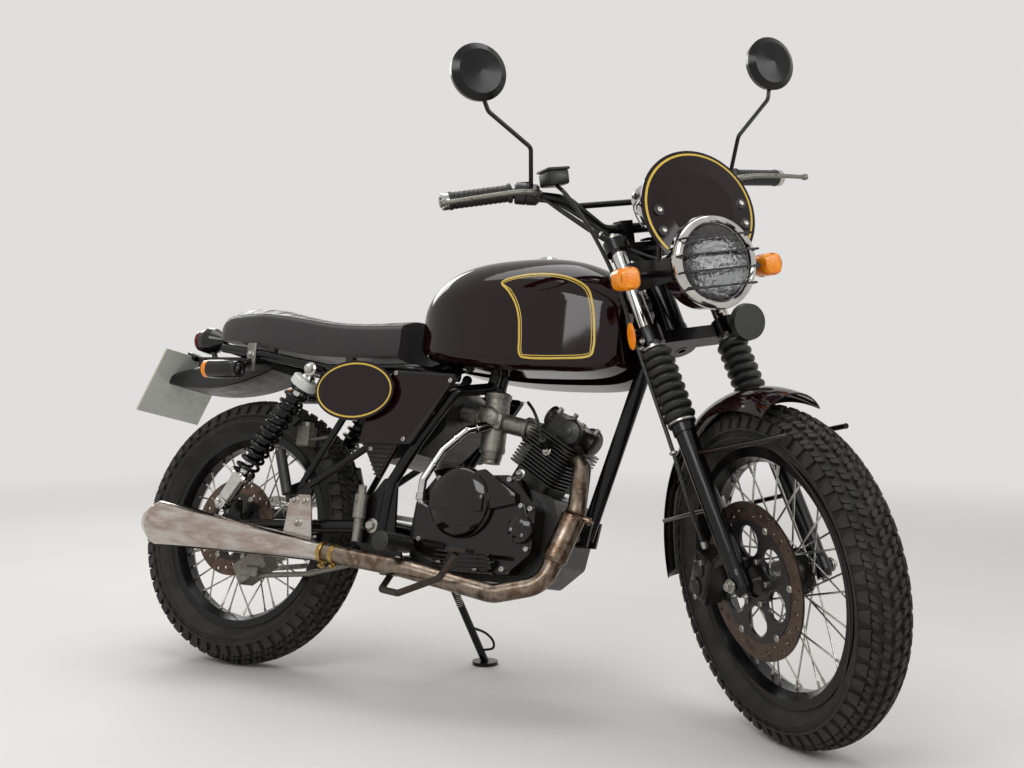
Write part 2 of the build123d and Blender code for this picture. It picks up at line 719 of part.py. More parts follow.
keep("silencer", ring(silencer_front, silencer_dir, silencer_profile) + (hanger - silencer_blank))
trim("exhaust_header", "silencer")

# Fuel tank, with a tunnel over the backbone and a filler cap
tank_rows = [
    # x, half width, bottom, top, top corner, bottom corner
    (458, 62, 738, 842, 44, 16),
    (484, 92, 714, 880, 70, 22),
    (548, 121, 698, 918, 92, 26),
    (650, 136, 686, 936, 104, 28),
    (800, 137, 680, 934, 104, 28),
    (900, 121, 684, 904, 92, 26),
    (950, 96, 706, 878, 60, 24),
]
tank_shell = lofted(tank_rows)
tunnel_half = backbone_radius + 12
tunnel_outline = [(420, 620), (1010, 620), (1010, 888), (700, 796), (420, 710)]
tunnel_plane = Plane(origin=(0, tunnel_half, 0), x_dir=(1, 0, 0), z_dir=(0, -1, 0))
tunnel = extrude(tunnel_plane * make_face(Polyline(*tunnel_outline, close=True)), 2 * tunnel_half)
tank_mounts = [rod((x, -tunnel_half - 2, z), (x, tunnel_half + 2, z), 9) for x, z in ((600, 737), (860, 814))]
keep("fuel_tank", fused(tank_shell - tunnel, *tank_mounts))
trim("fuel_tank", "main_frame", "head_frame")
cap_centre = (722, 0, 933)
keep("filler_cap", turned(cap_centre, (0, 0, 1), [(0, 26), (7, 29), (13, 29), (19, 22), (21, 0.5)]))
trim("filler_cap", "fuel_tank")

# Seat, with its raised hump behind
seat_rows = [
    # x, half width, bottom, top, top corner, bottom corner
    (-126, 76, 758, 788, 14, 12),
    (-88, 98, 752, 840, 30, 14),
    (10, 114, 742, 841, 32, 14),
    (160, 122, 713, 813, 32, 14),
    (260, 122, 706, 800, 30, 14),
    (400, 117, 704, 804, 30, 14),
    (525, 114, 704, 792, 28, 12),
]
# the front of the seat follows the rear of the tank
seat_clearance = 2.0
blank_rows = [(tank_rows[0][0] - seat_clearance, *tank_rows[0][1:]), *tank_rows[1:]]
tank_blank = lofted([
    (x, half + seat_clearance, low - seat_clearance, high + seat_clearance, round_top, round_bottom)
    for x, half, low, high, round_top, round_bottom in blank_rows
])
seat_body = lofted(seat_rows) - tank_blank
bumper_rows = [
    # x, height of the rail, height inside the seat
    (70, 709, 740),
    (300, 682, 712),
]
bumpers = [rod((x, 104, low), (x, 104, high), 9) - nodes["main_frame"] for x, low, high in bumper_rows]
keep("seat", fused(seat_body - nodes["main_frame"], *[side for bumper in bumpers for side in both(bumper)]))

# Panels under the seat
panel_y = 136.0
panel_outline = [(455, 672), (616, 664), (516, 512), (384, 511), (404, 600)]
vent_outline = [(384, 518), (484, 518), (440, 434)]
oval_centre = (363.0, 623.0)
oval_half = (105.0, 66.0)
oval_plane = Plane(origin=(oval_centre[0], -panel_y - 20, oval_centre[1]), x_dir=(1, 0, 0), z_dir=(0, -1, 0))
oval = extrude(oval_plane * Ellipse(*oval_half), 7)
oval_posts = [
    rod((x, -inner_y, oval_centre[1]), (x, -panel_y - 20, oval_centre[1]), 6)
    for x, inner_y in ((339, strut_y - 12), (440, panel_y + 6))
]
panel = side_plate(panel_outline, -panel_y, 12, 8)
vent = side_plate(vent_outline, -panel_y + 6, 8, 6)
keep("side_panels", *both(fused(oval, *oval_posts, panel, vent)))
trim("side_panels", "peg_struts")

# Air box between the frame tubes, behind the carburettor
airbox_outline = [(340, 520), (400, 480), (500, 500), (560, 560), (560, 640), (520, 672), (340, 672)]
airbox_plane = Plane(origin=(0, 84, 0), x_dir=(1, 0, 0), z_dir=(0, -1, 0))
airbox_face = make_face(Polyline(*airbox_outline, close=True))
keep("air_box", extrude(airbox_plane * fillet(airbox_face.vertices(), 12), 168))
trim("air_box", "main_frame")
trim("carburettor", "air_box")

# Tail: mudguard, lamp, plate, indicators
tyre_top = 2 * rear_tyre_radius
tail_gap = 18.0
tail_low = tyre_top + tail_gap
tail_rows = [
    # x, half width, bottom, top, top corner, bottom corner
    (-300, 52, tail_low + 12, tail_low + 36, 11, 8),
    (-150, 66, tail_low, tail_low + 66, 22, 10),
    (40, 72, tail_low + 48, tail_low + 66, 9, 8),
]
guard_solid = lofted(tail_rows)
tail_block = Pos(-145, 0, 713) * Box(170, 60, 24)
lamp_stem = rod((-200, 0, 716), (-218, 0, 752), 7)
lamp_centre = Vector(-236, 0, 773)
tail_lamp = turned(lamp_centre, (1, 0, 0), [(-20, 20), (-12, 30), (6, 34), (26, 31), (58, 12), (66, 0.5)])
keep("rear_lamps", tail_lamp)
keep("rear_guard", fused(guard_solid, tail_block, lamp_stem))
plate_centre = Vector(-302, 0, 652)
plate_tilt = 24.0
plate_thick = 3.0
plate_frame = Pos(plate_centre) * Rot(0, plate_tilt, 0)
keep("number_plate", plate_frame * Box(plate_thick, 215, 170))
behind_plate = plate_frame * Pos(-50 + plate_thick / 2, 0, 0) * Box(100, 300, 300)
trim("rear_guard", "rear_lamps", "main_frame", behind_plate)
rear_lamp_y = 158.0
rear_indicators = both(fused(
    rod((24, rear_lamp_y, 668), (-80, rear_lamp_y, 668), 20),
    rod((10, 100, 700), (10, rear_lamp_y, 668), 8),
))
nodes["rear_lamps"] += [solid for shape in rear_indicators for solid in shape.solids()]
trim("rear_lamps", "main_frame")

# Rests and pedals
peg_at = (538.0, 302.0)
keep("foot_rests", *both(fused(
    rod((peg_at[0], 134, peg_at[1]), (peg_at[0], 236, peg_at[1]), 13),
    rod((478, plate_y + 5, 306), (peg_at[0], 137, peg_at[1]), 9),
)))
trim("foot_rests", "rear_uprights", "engine_covers")
passenger_rest = fused(
    rod((206, strut_y + 20, 390), (168, strut_y + 20, 486), 12),
    rod((208, strut_y, 388), (208, strut_y + 22, 388), 7),
)
trim("silencer", "peg_struts", mirror(passenger_rest, Plane.XZ))
pedal_y = -206.0
pedal_route = [
    (494, -112, 250), (520, pedal_y + 20, 206), (575, pedal_y, 202), (668, pedal_y, 240), (702, pedal_y, 290),
]
brake_pedal = fused(
    pipe(pedal_route, 7, 12),
    Pos(708, pedal_y, 298) * Box(46, 34, 8),
)
gear_pedal = fused(
    pipe([(600, 100, 300), (600, 150, 300), (700, 152, 262)], 6, 12),
    rod((700, 140, 262), (700, 178, 262), 9),
)
keep("pedals", brake_pedal, gear_pedal)
trim("pedals", "rear_uprights", "engine_covers")
rear_cylinder = fused(
    rod((404, -138, 300), (404, -138, 420), 9), rod((404, -138, 350), (404, -138, 400), 14),
    rod((404, -116, 330), (404, -138, 330), 7),
)
reservoir = fused(
    Pos(188, -84, 528) * Box(34, 28, 44), rod((188, -84, 550), (188, -84, 560), 13),
    rod((196, -86, 520), (286, -116, 526), 4),
)
slot_half = 5.0
slot_margin = 4.0
slot_middle = rear_axle + left * rear_disc_y
slot_radius = rear_disc_radius + slot_margin
caliper_slot = rod(slot_middle - left * slot_half, slot_middle + left * slot_half, slot_radius)
rear_caliper = fused(
    Pos(84, -72, 226) * Rot(0, -35, 0) * Box(84, 46, 50) - caliper_slot,
    pipe([(96, -88, 205), (250, -88, 222), (400, -88, 262), (428, -88, 330)], 6, 12),
)
keep("rear_brake", rear_caliper, rear_cylinder, reservoir)
trim("rear_brake", "swingarm", "rear_uprights", "peg_struts")
keep("passenger_rests", *both(passenger_rest))
trim("passenger_rests", "peg_struts")
nodes["foot_rests"] += nodes.pop("passenger_rests")

# Steered pieces: the stem with its lower bridge, the upper bridge and the bar risers
upper_yoke_top = upper_yoke_at + yoke_thickness / 2
stem_bore = 8.0
stem = fused(
    rod(on_axis(lower_yoke_at - 18), on_axis(upper_yoke_top + 12), stem_radius),
    rod(on_axis(upper_yoke_top), on_axis(upper_yoke_top + 9), 17),
) - rod(on_axis(lower_yoke_at - 20), on_axis(lower_yoke_at + 22), stem_bore)
yoke_plane = Plane(origin=steer_point, x_dir=(0, 1, 0), z_dir=steer_dir)


def yoke(at, thickness):
    """A fork bridge: three bosses joined by a web, square to the steering axis."""
    low = at - thickness / 2
    shapes = [rod(on_axis(low), on_axis(low + thickness), 30)]
    for side in (-1, 1):
        leg = on_leg(low, side * fork_half)
        shapes.append(rod(leg, leg + steer_dir * thickness, 26))
    web = extrude(Rectangle(2 * fork_half, 40), thickness * 0.8)
    shapes.append(yoke_plane * Pos(0, -fork_offset * 0.62, low) * web)
    return fused(*shapes)


lower_yoke = yoke(lower_yoke_at, yoke_thickness + 8)
upper_yoke = yoke(upper_yoke_at, yoke_thickness)
lower_bridge = lower_yoke - rod(on_axis(lower_yoke_at - 40), on_axis(lower_yoke_at + 40), stem_radius) + stem
risers = fused(*[Pos(950, s * 46, 990) * Box(34, 28, 76) for s in (-1, 1)])
upper_hole = rod(on_axis(upper_yoke_at - 40), on_axis(upper_yoke_at + 40), stem_radius)
upper_bridge = upper_yoke - upper_hole + risers
keep("fork_yokes", lower_bridge, upper_bridge, turns=True)
stanchions = [
    rod(on_leg(slider_top - 60, s * fork_half), on_leg(stanchion_top, s * fork_half), stanchion_radius)
    for s in (-1, 1)
]
keep("fork_tubes", *stanchions, turns=True)
gaiter_folds = 7
fold = (gaiter_top - slider_top - 8) / gaiter_folds
gaiter_profile = [(slider_top, stanchion_radius), (slider_top, 25), (slider_top + 8, 25)]
for number in range(gaiter_folds):
    base = slider_top + 8 + number * fold
    gaiter_profile += [
        (base + fold * 0.35, gaiter_radius), (base + fold * 0.6, gaiter_radius), (base + fold, 23),
    ]
gaiter_profile += [(gaiter_top, stanchion_radius)]
gaiters = [ring(front_axle + left * s * fork_half, steer_dir, gaiter_profile) for s in (-1, 1)]
keep("fork_gaiters", *gaiters, turns=True)
slider_profile = [
    (-22, 14), (-10, 20), (14, 20), (26, 18), (60, slider_radius - 1), (slider_top - 20, slider_radius),
    (slider_top - 20, slider_radius + 3), (slider_top, slider_radius + 3),
]
sliders = [turned(front_axle + left * s * fork_half, steer_dir, slider_profile) for s in (-1, 1)]
keep("fork_sliders", *sliders, turns=True)
front_reach = fork_half + 24
front_nut = rod(front_axle + left * (fork_half + 21), front_axle + left * front_reach, 12)
front_spindle = rod(front_axle - left * front_reach, front_axle + left * front_reach, front_axle_radius)
keep("front_axle", fused(front_spindle, *both(front_nut)), turns=True)
trim("fork_yokes", "fork_tubes")
trim("fork_yokes", rod(on_axis(700), on_axis(upper_yoke_top + 12), stem_radius) - stem)
trim("fork_sliders", "fork_tubes", "front_axle")

# Front mudguard: an arched shell with its braces
guard_radius = 353.0
guard_half = 63.5
guard_wall = 3.0
guard_start = -16.0
guard_sweep = 112.0
guard_depth = 38.0
guard_edge = guard_radius - guard_depth
outer_arch, inner_arch = [
    [(shrink - guard_half, guard_edge), (0, guard_radius - shrink), (guard_half - shrink, guard_edge)]
    for shrink in (0.0, guard_wall)
]
guard_face = make_face([
    ThreePointArc(*outer_arch), Line(outer_arch[2], inner_arch[2]),
    ThreePointArc(*inner_arch), Line(inner_arch[0], outer_arch[0]),
])
guard_turn = revolve(Plane.YZ * guard_face, Axis.Y, guard_sweep)
guard_shell = Pos(front_axle) * Rot(0, -guard_start - guard_sweep, 0) * guard_turn
stays = []
for angle, height in ((60, 262), (118, 262), (164, 150)):
    turn = radians(angle)
    edge = front_axle + Vector(guard_edge * cos(turn), guard_half - 2, guard_edge * sin(turn))
    stays.append(rod(edge, on_leg(height, fork_half), 5))
guard_stays = fused(*stays)
keep("front_guard", fused(guard_shell, guard_stays, mirror(guard_stays, Plane.XZ)), turns=True)
trim("front_guard", "fork_sliders", "fork_tubes")

# Headlamp: shell, rim with its guard of bent bars, and lens
lamp_face = Vector(1200, 0, 912)
lamp_aim = Vector(1, 0, 0.06)
lamp_shell_profile = [(0, 86), (50, 84), (92, 62), (112, 26), (114, 0.5)]
keep("headlamp_shell", turned(lamp_face, lamp_aim * -1, lamp_shell_profile), turns=True)
bar_front = lamp_face.X + 29
bar_back = lamp_face.X + 12
bar_wire = 3.0
lamp_bars = [
    # height from the middle of the lamp, width
    (-48, 150),
    (-16, 172),
    (16, 172),
    (48, 150),
]
grille = []
bar_ends = []
for rise, width in lamp_bars:
    z = lamp_face.Z + rise
    grille.append(rod((bar_front, -width / 2, z), (bar_front, width / 2, z), bar_wire))
    for side in (-1, 1):
        bar_ends.append(rod((bar_back, side * width / 2, z), (bar_front, side * width / 2, z), bar_wire))
lamp_rim = ring(lamp_face, lamp_aim, [(0, 76), (0, 89), (14, 90), (20, 84), (16, 78)])
keep("headlamp_rim", fused(lamp_rim, *grille, *bar_ends), turns=True)
lens_profile = [(0.3, 75.5), (12, 75), (20, 50), (23, 0.5)]
keep("headlamp_lens", turned(lamp_face, lamp_aim, lens_profile), turns=True)
ear = side_plate([(1030, 874), (1196, 886), (1196, 930), (1022, 936)], 86.4, 4, 6)
indicator = fused(
    rod((1130, 89, 905), (1146, 162, 900), 7), rod((1122, 162, 900), (1166, 162, 900), 21))
keep("headlamp_brackets", *both(fused(ear, indicator)), turns=True)
trim("headlamp_brackets", "fork_tubes", "headlamp_shell")
screen_centre = Vector(1170, 0, 1016)
screen_dir = Vector(1, 0, 0.25)
screen = ring(screen_centre, screen_dir, [(0, 0.5), (0, 124), (3, 124), (14, 70), (14, 0.5)])
screen_arm = rod((1174, 92, 1008), (1152, fork_half, 926), 4)
lamp_space = rod((1100, 0, 906), (1260, 0, 916), 93)
keep("fly_screen", fused(screen - lamp_space, *both(screen_arm)), turns=True)
trim("fly_screen", "headlamp_brackets", "headlamp_shell")
horn_disc = turned((1160, 96, 791), (-1, 0, 0), [(0, 36), (14, 38), (26, 20), (26, 0.5)])
keep("horn", horn_disc + rod((1136, 96, 791), (1080, 84, 780), 5), turns=True)
trim("horn", "fork_yokes", "fork_gaiters", "fork_tubes")

# Handlebar and what it carries
bar_radius = 11.0
bar_route = [
    (873, -415, 1103), (902, -270, 1108), (950, -170, 1080), (950, -92, 1012),
    (950, 92, 1012), (950, 170, 1080), (902, 270, 1108), (873, 415, 1103),
]
keep("handlebar", fused(
    pipe(bar_route, bar_radius, 38),
    rod((951, -150, 1066), (951, 150, 1066), 6.5),
), turns=True)
trim("fork_yokes", "handlebar")
grip_from = Vector(878, 392, 1103.8)
grip_to = Vector(902, 270, 1108)
grip_length = 130.0
grip = ring(grip_to, grip_from - grip_to, [
    (0, bar_radius), (0, 18), (6, 18), (8, 16), (grip_length - 6, 16), (grip_length - 4, 18),
    (grip_length, 18), (grip_length, bar_radius),
])
keep("grips", *both(grip), turns=True)
trim("grips", "handlebar")
control = fused(
    rod((906, 262, 1107), (928, 216, 1096), 21),
    pipe([(928, 226, 1096), (958, 240, 1097), (962, 262, 1098), (935, 430, 1096)], 5.5, [12, 12]),
)
fluid_box = Pos(958, -196, 1124) * Box(58, 46, 32)
controls = [control, mirror(control, Plane.XZ) + fluid_box]
keep("hand_controls", *controls, turns=True)
trim("hand_controls", "handlebar", "grips")
mirror_stem = pipe([(930, 238, 1100), (972, 246, 1187), (975, 330, 1262), (975, 343, 1310)], 4.5, 16)
mirror_head = turned((982, 343, 1338), (1, 0, 0.05), [(-12, 56), (0, 58), (10, 44), (16, 0.5)])
keep("mirrors", *both(mirror_stem + mirror_head), turns=True)
trim("mirrors", "hand_controls", "handlebar")
keep("speedometer", fused(
    turned((1012, 0, 1052), (0.5, 0, -0.86), [(-30, 40), (0, 40), (34, 38), (46, 26), (46, 0.5)]),
    rod((1020, 0, 1030), (985, 0, 975), 8),
), turns=True)
trim("speedometer", "fork_yokes")

# Front caliper, round the disc
pad_middle = front_axle + left * front_disc_y
pad_slot = rod(pad_middle - left * slot_half, pad_middle + left * slot_half, front_disc_radius + slot_margin)
caliper_centre = Vector(1196, -76, 322)
caliper_turn = 26.0
caliper_block = Pos(caliper_centre) * Rot(0, caliper_turn, 0) * Box(58, 58, 96)
caliper_arm = rod((1200, -92, 330), tuple(on_leg(60, -fork_half)), 10)
piston_bosses = [
    rod(point, point - left * 34, 17)
    for point in [caliper_centre + rotated(Vector(0, 0, rise), left, caliper_turn) for rise in (-21, 21)]
]
keep("front_caliper", fused(caliper_block, caliper_arm, *piston_bosses) - pad_slot, turns=True)
trim("front_caliper", "fork_sliders", "fork_tubes")

wheel_nodes = ["front_tyre", "front_rim", "front_spokes", "front_disc"]


def park(shape, turns):
    """Bring one solid from the upright frame to where it stands."""
    if turns:
        shape = shape.rotate(Axis(steer_point, steer_dir), -steering_lock)
    shape = shape.rotate(Axis((0, 0, 0), (0, 1, 0)), pitch)
    shape = shape.rotate(Axis((0, 0, 0), (1, 0, 0)), -lean)
    return shape.translate(Vector(0, 0, -drop))


# Parking: turn, pitch and lean every solid, then move the origin
parked = {}
for name, solids in nodes.items():
    turns = name in steered or name in wheel_nodes
    parked[name] = [park(solid, turns) for solid in solids]

boxes = [solid.bounding_box() for solids in parked.values() for solid in solids]
middle_x = (min(b.min.X for b in boxes) + max(b.max.X for b in boxes)) / 2
middle_y = (min(b.min.Y for b in boxes) + max(b.max.Y for b in boxes)) / 2
lowest_z = min(b.min.Z for b in boxes)
to_origin = Vector(-middle_x, -middle_y, 0)


def row_point(point, turns=False):
    """A point of the upright frame, in the frame that the pieces are written in."""
    if turns:
        point = steered_point(point)
    return parked_dir(point, pitch) + Vector(0, 0, -drop) + to_origin


os.makedirs("parts", exist_ok=True)
for name, solids in parked.items():
    moved = [solid.translate(to_origin) for solid in solids]
    whole = moved[0] if len(moved) == 1 else Compound(children=moved)
    whole.label = name
    export_step(whole, f"parts/{name}.step")

axes = [
    # name, a point on the axis, its direction in the upright frame, whether it turns
    ("steering", on_axis(lower_yoke_at), steer_dir, False),
    ("front_wheel_spin", front_axle, left, True),
    ("rear_wheel_spin", rear_axle, left, False),
    ("side_stand_fold", hinge, stand_axis, False),
    ("stem_bore", on_axis(lower_yoke_at), steer_dir * -1, False),
]
for name, point, direction, turns in axes:
    if turns:
        direction = rotated(direction, steer_dir, -steering_lock)
    place = row_point(point, turns) / 1000
    aim = parked_dir(direction, pitch)
    print("axis", name, *[round(v, 6) for v in (*tuple(place), *tuple(aim))])
foot_place = row_point(foot) / 1000
print("foot", *[round(v, 6) for v in tuple(foot_place)])
print("pitch", round(pitch, 4), "lowest", round(lowest_z, 4), "swing", round(stand_swing, 2))
print("shift", to_origin)
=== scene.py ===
"""The looks of a scrambler motorcycle on its side stand, laid out as a Blender add-on.

Forms are drawn in millimetres of the upright motorcycle: x forward, y to the rider's left,
z up, with the origin under the rear axle. Two placings taken from the frame's joints, one
for the chassis and one for what turns with the handlebar, bring them to where they stand.
"""
import json
import math

import bmesh
import bpy
from bpy.props import FloatProperty, FloatVectorProperty, IntProperty
from mathutils import Matrix, Vector
from mathutils.bvhtree import BVHTree


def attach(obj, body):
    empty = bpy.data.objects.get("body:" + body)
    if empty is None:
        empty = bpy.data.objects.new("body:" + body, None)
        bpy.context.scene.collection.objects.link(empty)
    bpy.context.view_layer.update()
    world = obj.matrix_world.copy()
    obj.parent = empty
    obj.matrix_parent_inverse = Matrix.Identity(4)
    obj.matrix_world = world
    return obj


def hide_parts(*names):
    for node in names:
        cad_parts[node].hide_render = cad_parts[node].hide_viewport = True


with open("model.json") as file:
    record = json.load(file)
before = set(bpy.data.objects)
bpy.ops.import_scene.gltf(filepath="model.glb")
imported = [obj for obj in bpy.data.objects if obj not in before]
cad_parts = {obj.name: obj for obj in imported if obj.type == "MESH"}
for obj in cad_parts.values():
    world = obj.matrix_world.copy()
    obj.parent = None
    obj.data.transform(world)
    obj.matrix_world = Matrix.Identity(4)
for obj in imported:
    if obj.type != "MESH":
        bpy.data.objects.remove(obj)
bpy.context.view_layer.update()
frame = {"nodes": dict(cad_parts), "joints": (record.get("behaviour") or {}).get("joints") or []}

bl_info = {
    "name": "Scrambler motorcycle",
    "version": (1, 0, 0),
    "blender": (4, 5, 0),
    "location": "3D View > Sidebar > Motorcycle",
    "description": "Dresses the packed frame of a scrambler motorcycle",
    "category": "Object",
}

# Where the upright motorcycle stands

MM = 0.001
RAKE = math.radians(26.3)
WHEELBASE = 1312.0
REAR_RADIUS = 311.0
FRONT_RADIUS = 320.0
REAR_HALF = 57.0
FRONT_HALF = 54.5
REAR_SEAT = 17 * 25.4 / 2
FRONT_SEAT = 18 * 25.4 / 2
RIM_LIP = 14.5
FORK_HALF = 88.6
REAR_AXLE = Vector((0, 0, REAR_RADIUS))
FRONT_AXLE = Vector((WHEELBASE, 0, FRONT_RADIUS))
STEER_DIR = Vector((-math.sin(RAKE), 0, math.cos(RAKE)))
LEFT = Vector((0, 1, 0))
JOINTS = {joint["name"]: joint for joint in frame["joints"]}


def chassis_placing():
    """From millimetres of the upright motorcycle to the parked chassis."""
    left = Vector(JOINTS["rear_wheel_spin"]["axis"]).normalized()
    steer = Vector(JOINTS["steering"]["axis"]).normalized()
    ahead = left.cross(steer)
    forward = ahead * math.cos(RAKE) - steer * math.sin(RAKE)
    up = ahead * math.sin(RAKE) + steer * math.cos(RAKE)
    turn = Matrix((forward, left, up)).transposed().to_4x4()
    axle = Vector(JOINTS["rear_wheel_spin"]["pos_m"])
    return Matrix.Translation(axle) @ turn @ Matrix.Scale(MM, 4) @ Matrix.Translation(-REAR_AXLE)


def steered_placing():
    """The same for what turns with the handlebar, which rests on its right stop."""
    steer = Vector(JOINTS["steering"]["axis"]).normalized()
    left = Vector(JOINTS["rear_wheel_spin"]["axis"])
    lock = left.angle(Vector(JOINTS["front_wheel_spin"]["axis"]))
    centre = Vector(JOINTS["steering"]["pos_m"])
    turn = Matrix.Translation(centre) @ Matrix.Rotation(-lock, 4, steer) @ Matrix.Translation(-centre)
    return turn @ CHASSIS


CHASSIS = chassis_placing()
STEERED = steered_placing()


def on_leg(distance, y):
    """A point on a fork leg, at a distance from the axle."""
    return FRONT_AXLE + STEER_DIR * distance + LEFT * y


# Nodes and colours


def colour(text):
    """A linear colour from an sRGB hex value."""
    channels = [int(text[i:i + 2], 16) / 255 for i in (1, 3, 5)]
    linear = [c / 12.92 if c <= 0.04045 else ((c + 0.055) / 1.055) ** 2.4 for c in channels]
    return (*linear, 1.0)


def add(tree, kind, settings=(), links=()):
    """Add a node of a kind, with its settings and the outputs that feed its sockets."""
    node = tree.nodes.new(kind)
    for key, value in dict(settings).items():
        if key in node.inputs:
            node.inputs[key].default_value = value
        else:
            setattr(node, key, value)
    for key, source in dict(links).items():
        tree.links.new(source, node.inputs[key])
    return node


def shade(tone):
    """A linear colour from a hex value, or as it is where it already is one."""
    return colour(tone) if isinstance(tone, str) else tone


def surface(name, tones, roughness, metallic=0.0, patch_mm=40.0, grain_mm=0.8, bump=0.0, spread=0.08,
            settings=(), stretch=(1, 1, 1)):
    """A material whose colour and roughness wander in patches, with a fine grain in relief.

    Patches, grain and bump are in millimetres. A grain finer than about 0.6 mm wouldn't show
    in the render, so it is drawn that coarse or coarser.
    """
    material = bpy.data.materials.new(name)
    material.use_nodes = True
    tree = material.node_tree
    shader = tree.nodes["Principled BSDF"]
    shader.inputs["Metallic"].default_value = metallic
    for key, value in dict(settings).items():
        shader.inputs[key].default_value = value
    place = add(tree, "ShaderNodeTexCoord").outputs["Object"]
    place = add(tree, "ShaderNodeMapping", {"Scale": stretch}, {"Vector": place}).outputs["Vector"]
    patches = add(tree, "ShaderNodeTexNoise", {"Scale": 1 / (patch_mm * MM), "Detail": 6.0, "Roughness": 0.6},
                  {"Vector": place})
    tint = add(tree, "ShaderNodeValToRGB", links={"Fac": patches.outputs["Fac"]})
    stops = tint.color_ramp.elements
    while len(stops) < len(tones):
        stops.new(0.5)
    for number, (stop, tone) in enumerate(zip(stops, tones)):
        stop.position = 0.3 + 0.4 * number / max(1, len(tones) - 1)
        stop.color = shade(tone)
    tree.links.new(tint.outputs["Color"], shader.inputs["Base Color"])
    fine = add(tree, "ShaderNodeTexNoise", {"Scale": 1 / (grain_mm * MM), "Detail": 3.0}, {"Vector": place})
    smear = add(tree, "ShaderNodeTexNoise", {"Scale": 2.3 / (patch_mm * MM), "Detail": 4.0},
                {"Vector": place})
    shine = add(tree, "ShaderNodeMapRange", {
        "From Min": 0.3, "From Max": 0.7, "To Min": max(0.02, roughness - spread),
        "To Max": roughness + spread,
    }, {"Value": smear.outputs["Fac"]})
    tree.links.new(shine.outputs["Result"], shader.inputs["Roughness"])
    if bump:
        relief = add(tree, "ShaderNodeBump", {"Strength": 1.0, "Distance": bump * MM},
                     {"Height": fine.outputs["Fac"]})
        tree.links.new(relief.outputs["Normal"], shader.inputs["Normal"])
    return material


def with_core(material, joint, radius_mm, tones, roughness, metallic):
    """Give the part of a wheel's piece that lies near its axle a finish of its own."""
    tree = material.node_tree
    shader = tree.nodes["Principled BSDF"]
    place = add(tree, "ShaderNodeTexCoord").outputs["Object"]
    away = add(tree, "ShaderNodeVectorMath", {"operation": "SUBTRACT"})
    tree.links.new(place, away.inputs[0])
    away.inputs[1].default_value = JOINTS[joint]["pos_m"]
    across = add(tree, "ShaderNodeVectorMath", {"operation": "CROSS_PRODUCT"})
    tree.links.new(away.outputs["Vector"], across.inputs[0])
    across.inputs[1].default_value = JOINTS[joint]["axis"]
    reach = add(tree, "ShaderNodeVectorMath", {"operation": "LENGTH"})
    tree.links.new(across.outputs["Vector"], reach.inputs[0])
    outside = add(tree, "ShaderNodeMath", {"operation": "GREATER_THAN"})
    tree.links.new(reach.outputs["Value"], outside.inputs[0])
    outside.inputs[1].default_value = radius_mm * MM
    for socket, core in (("Base Color", shade(tones)), ("Roughness", roughness), ("Metallic", metallic)):
        kind = "RGBA" if socket == "Base Color" else "FLOAT"
        mix = add(tree, "ShaderNodeMix", {"data_type": kind})
        inputs = [s for s in mix.inputs if s.enabled]
        output = next(s for s in mix.outputs if s.enabled)
        inputs[1].default_value = core
        rim = shader.inputs[socket]
        if rim.is_linked:
            tree.links.new(rim.links[0].from_socket, inputs[2])
        else:
            inputs[2].default_value = rim.default_value
        tree.links.new(outside.outputs["Value"], inputs[0])
        tree.links.new(output, rim)
    return material


# Finishes, each named for the real material and how its surface was made


def moulded_tyre_rubber():
    """Vulcanised tyre rubber, dusty on its blocks: matt, grey where dust lies."""
    return surface("moulded_tyre_rubber", ["#131211", "#1b1a18", "#2e2b27"], 0.72, patch_mm=60,
                   grain_mm=1.2, bump=0.25)


def baked_enamel():
    """Baked black enamel on steel tubes: smooth and glossy with a little haze."""
    return surface("baked_enamel", ["#080708", "#0d0b0c"], 0.2, patch_mm=120,
                   settings={"Specular IOR Level": 0.32})


def tank_lacquer():
    """Black lacquer with a maroon tint, polished: deep, with clear mirror-like lights."""
    settings = bpy.context.scene.motorcycle_paint
    deep = (*settings.tank_colour, 1.0)
    warm = (*[min(1.0, c * 1.5) for c in settings.tank_colour], 1.0)
    return surface("tank_lacquer", [deep, warm], 0.05, patch_mm=300, spread=0.015,
                   settings={"Specular IOR Level": 0.34})


def coach_line():
    """Hand-drawn gold lining under lacquer: warm and soft-edged in its light."""
    gold = bpy.context.scene.motorcycle_paint.line_colour
    worn = (*[c * 0.85 for c in gold], 1.0)
    return surface("coach_line", [worn, (*gold, 1.0)], 0.3, patch_mm=50)


def chrome_plate():
    """Polished chrome plate with a few smears."""
    return surface("chrome_plate", ["#b7b5b2", "#d3d1cd"], 0.09, 1.0, patch_mm=30, spread=0.05)


def filmed_chrome():
    """Chrome plate under a thin rusty exhaust film, streaked along the silencer."""
    return surface("filmed_chrome", ["#96867c", "#c4beb8", "#a8968c", "#d2cdc8"], 0.12, 1.0, patch_mm=90,
                   spread=0.06, grain_mm=2, bump=0.05, stretch=(0.5, 1.6, 1.6))


def heat_tinted_pipe():
    """Steel pipe tinted bronze and brown by heat, with rusty stains."""
    return surface("heat_tinted_pipe", ["#3b312b", "#8a7d70", "#5f4a3b", "#a1968a"], 0.3, 1.0, patch_mm=55,
                   spread=0.12, grain_mm=1.5, bump=0.12)


def engine_enamel():
    """Sprayed black enamel on castings, dulled by dust between the fins."""
    return surface("engine_enamel", ["#0a0a0a", "#131211", "#211e1a"], 0.36, patch_mm=26, grain_mm=0.9,
                   bump=0.12)


def polished_enamel():
    """Gloss black enamel sprayed on the smooth engine covers: near mirror-like, with a slight maroon cast
    that is a painted reflection.
    """
    # the slight red cast of both tones is a painted maroon reflection on black enamel
    return surface("polished_enamel", ["#0a0606", "#110909"], 0.09, patch_mm=80, spread=0.04,
                   settings={"Specular IOR Level": 0.45})


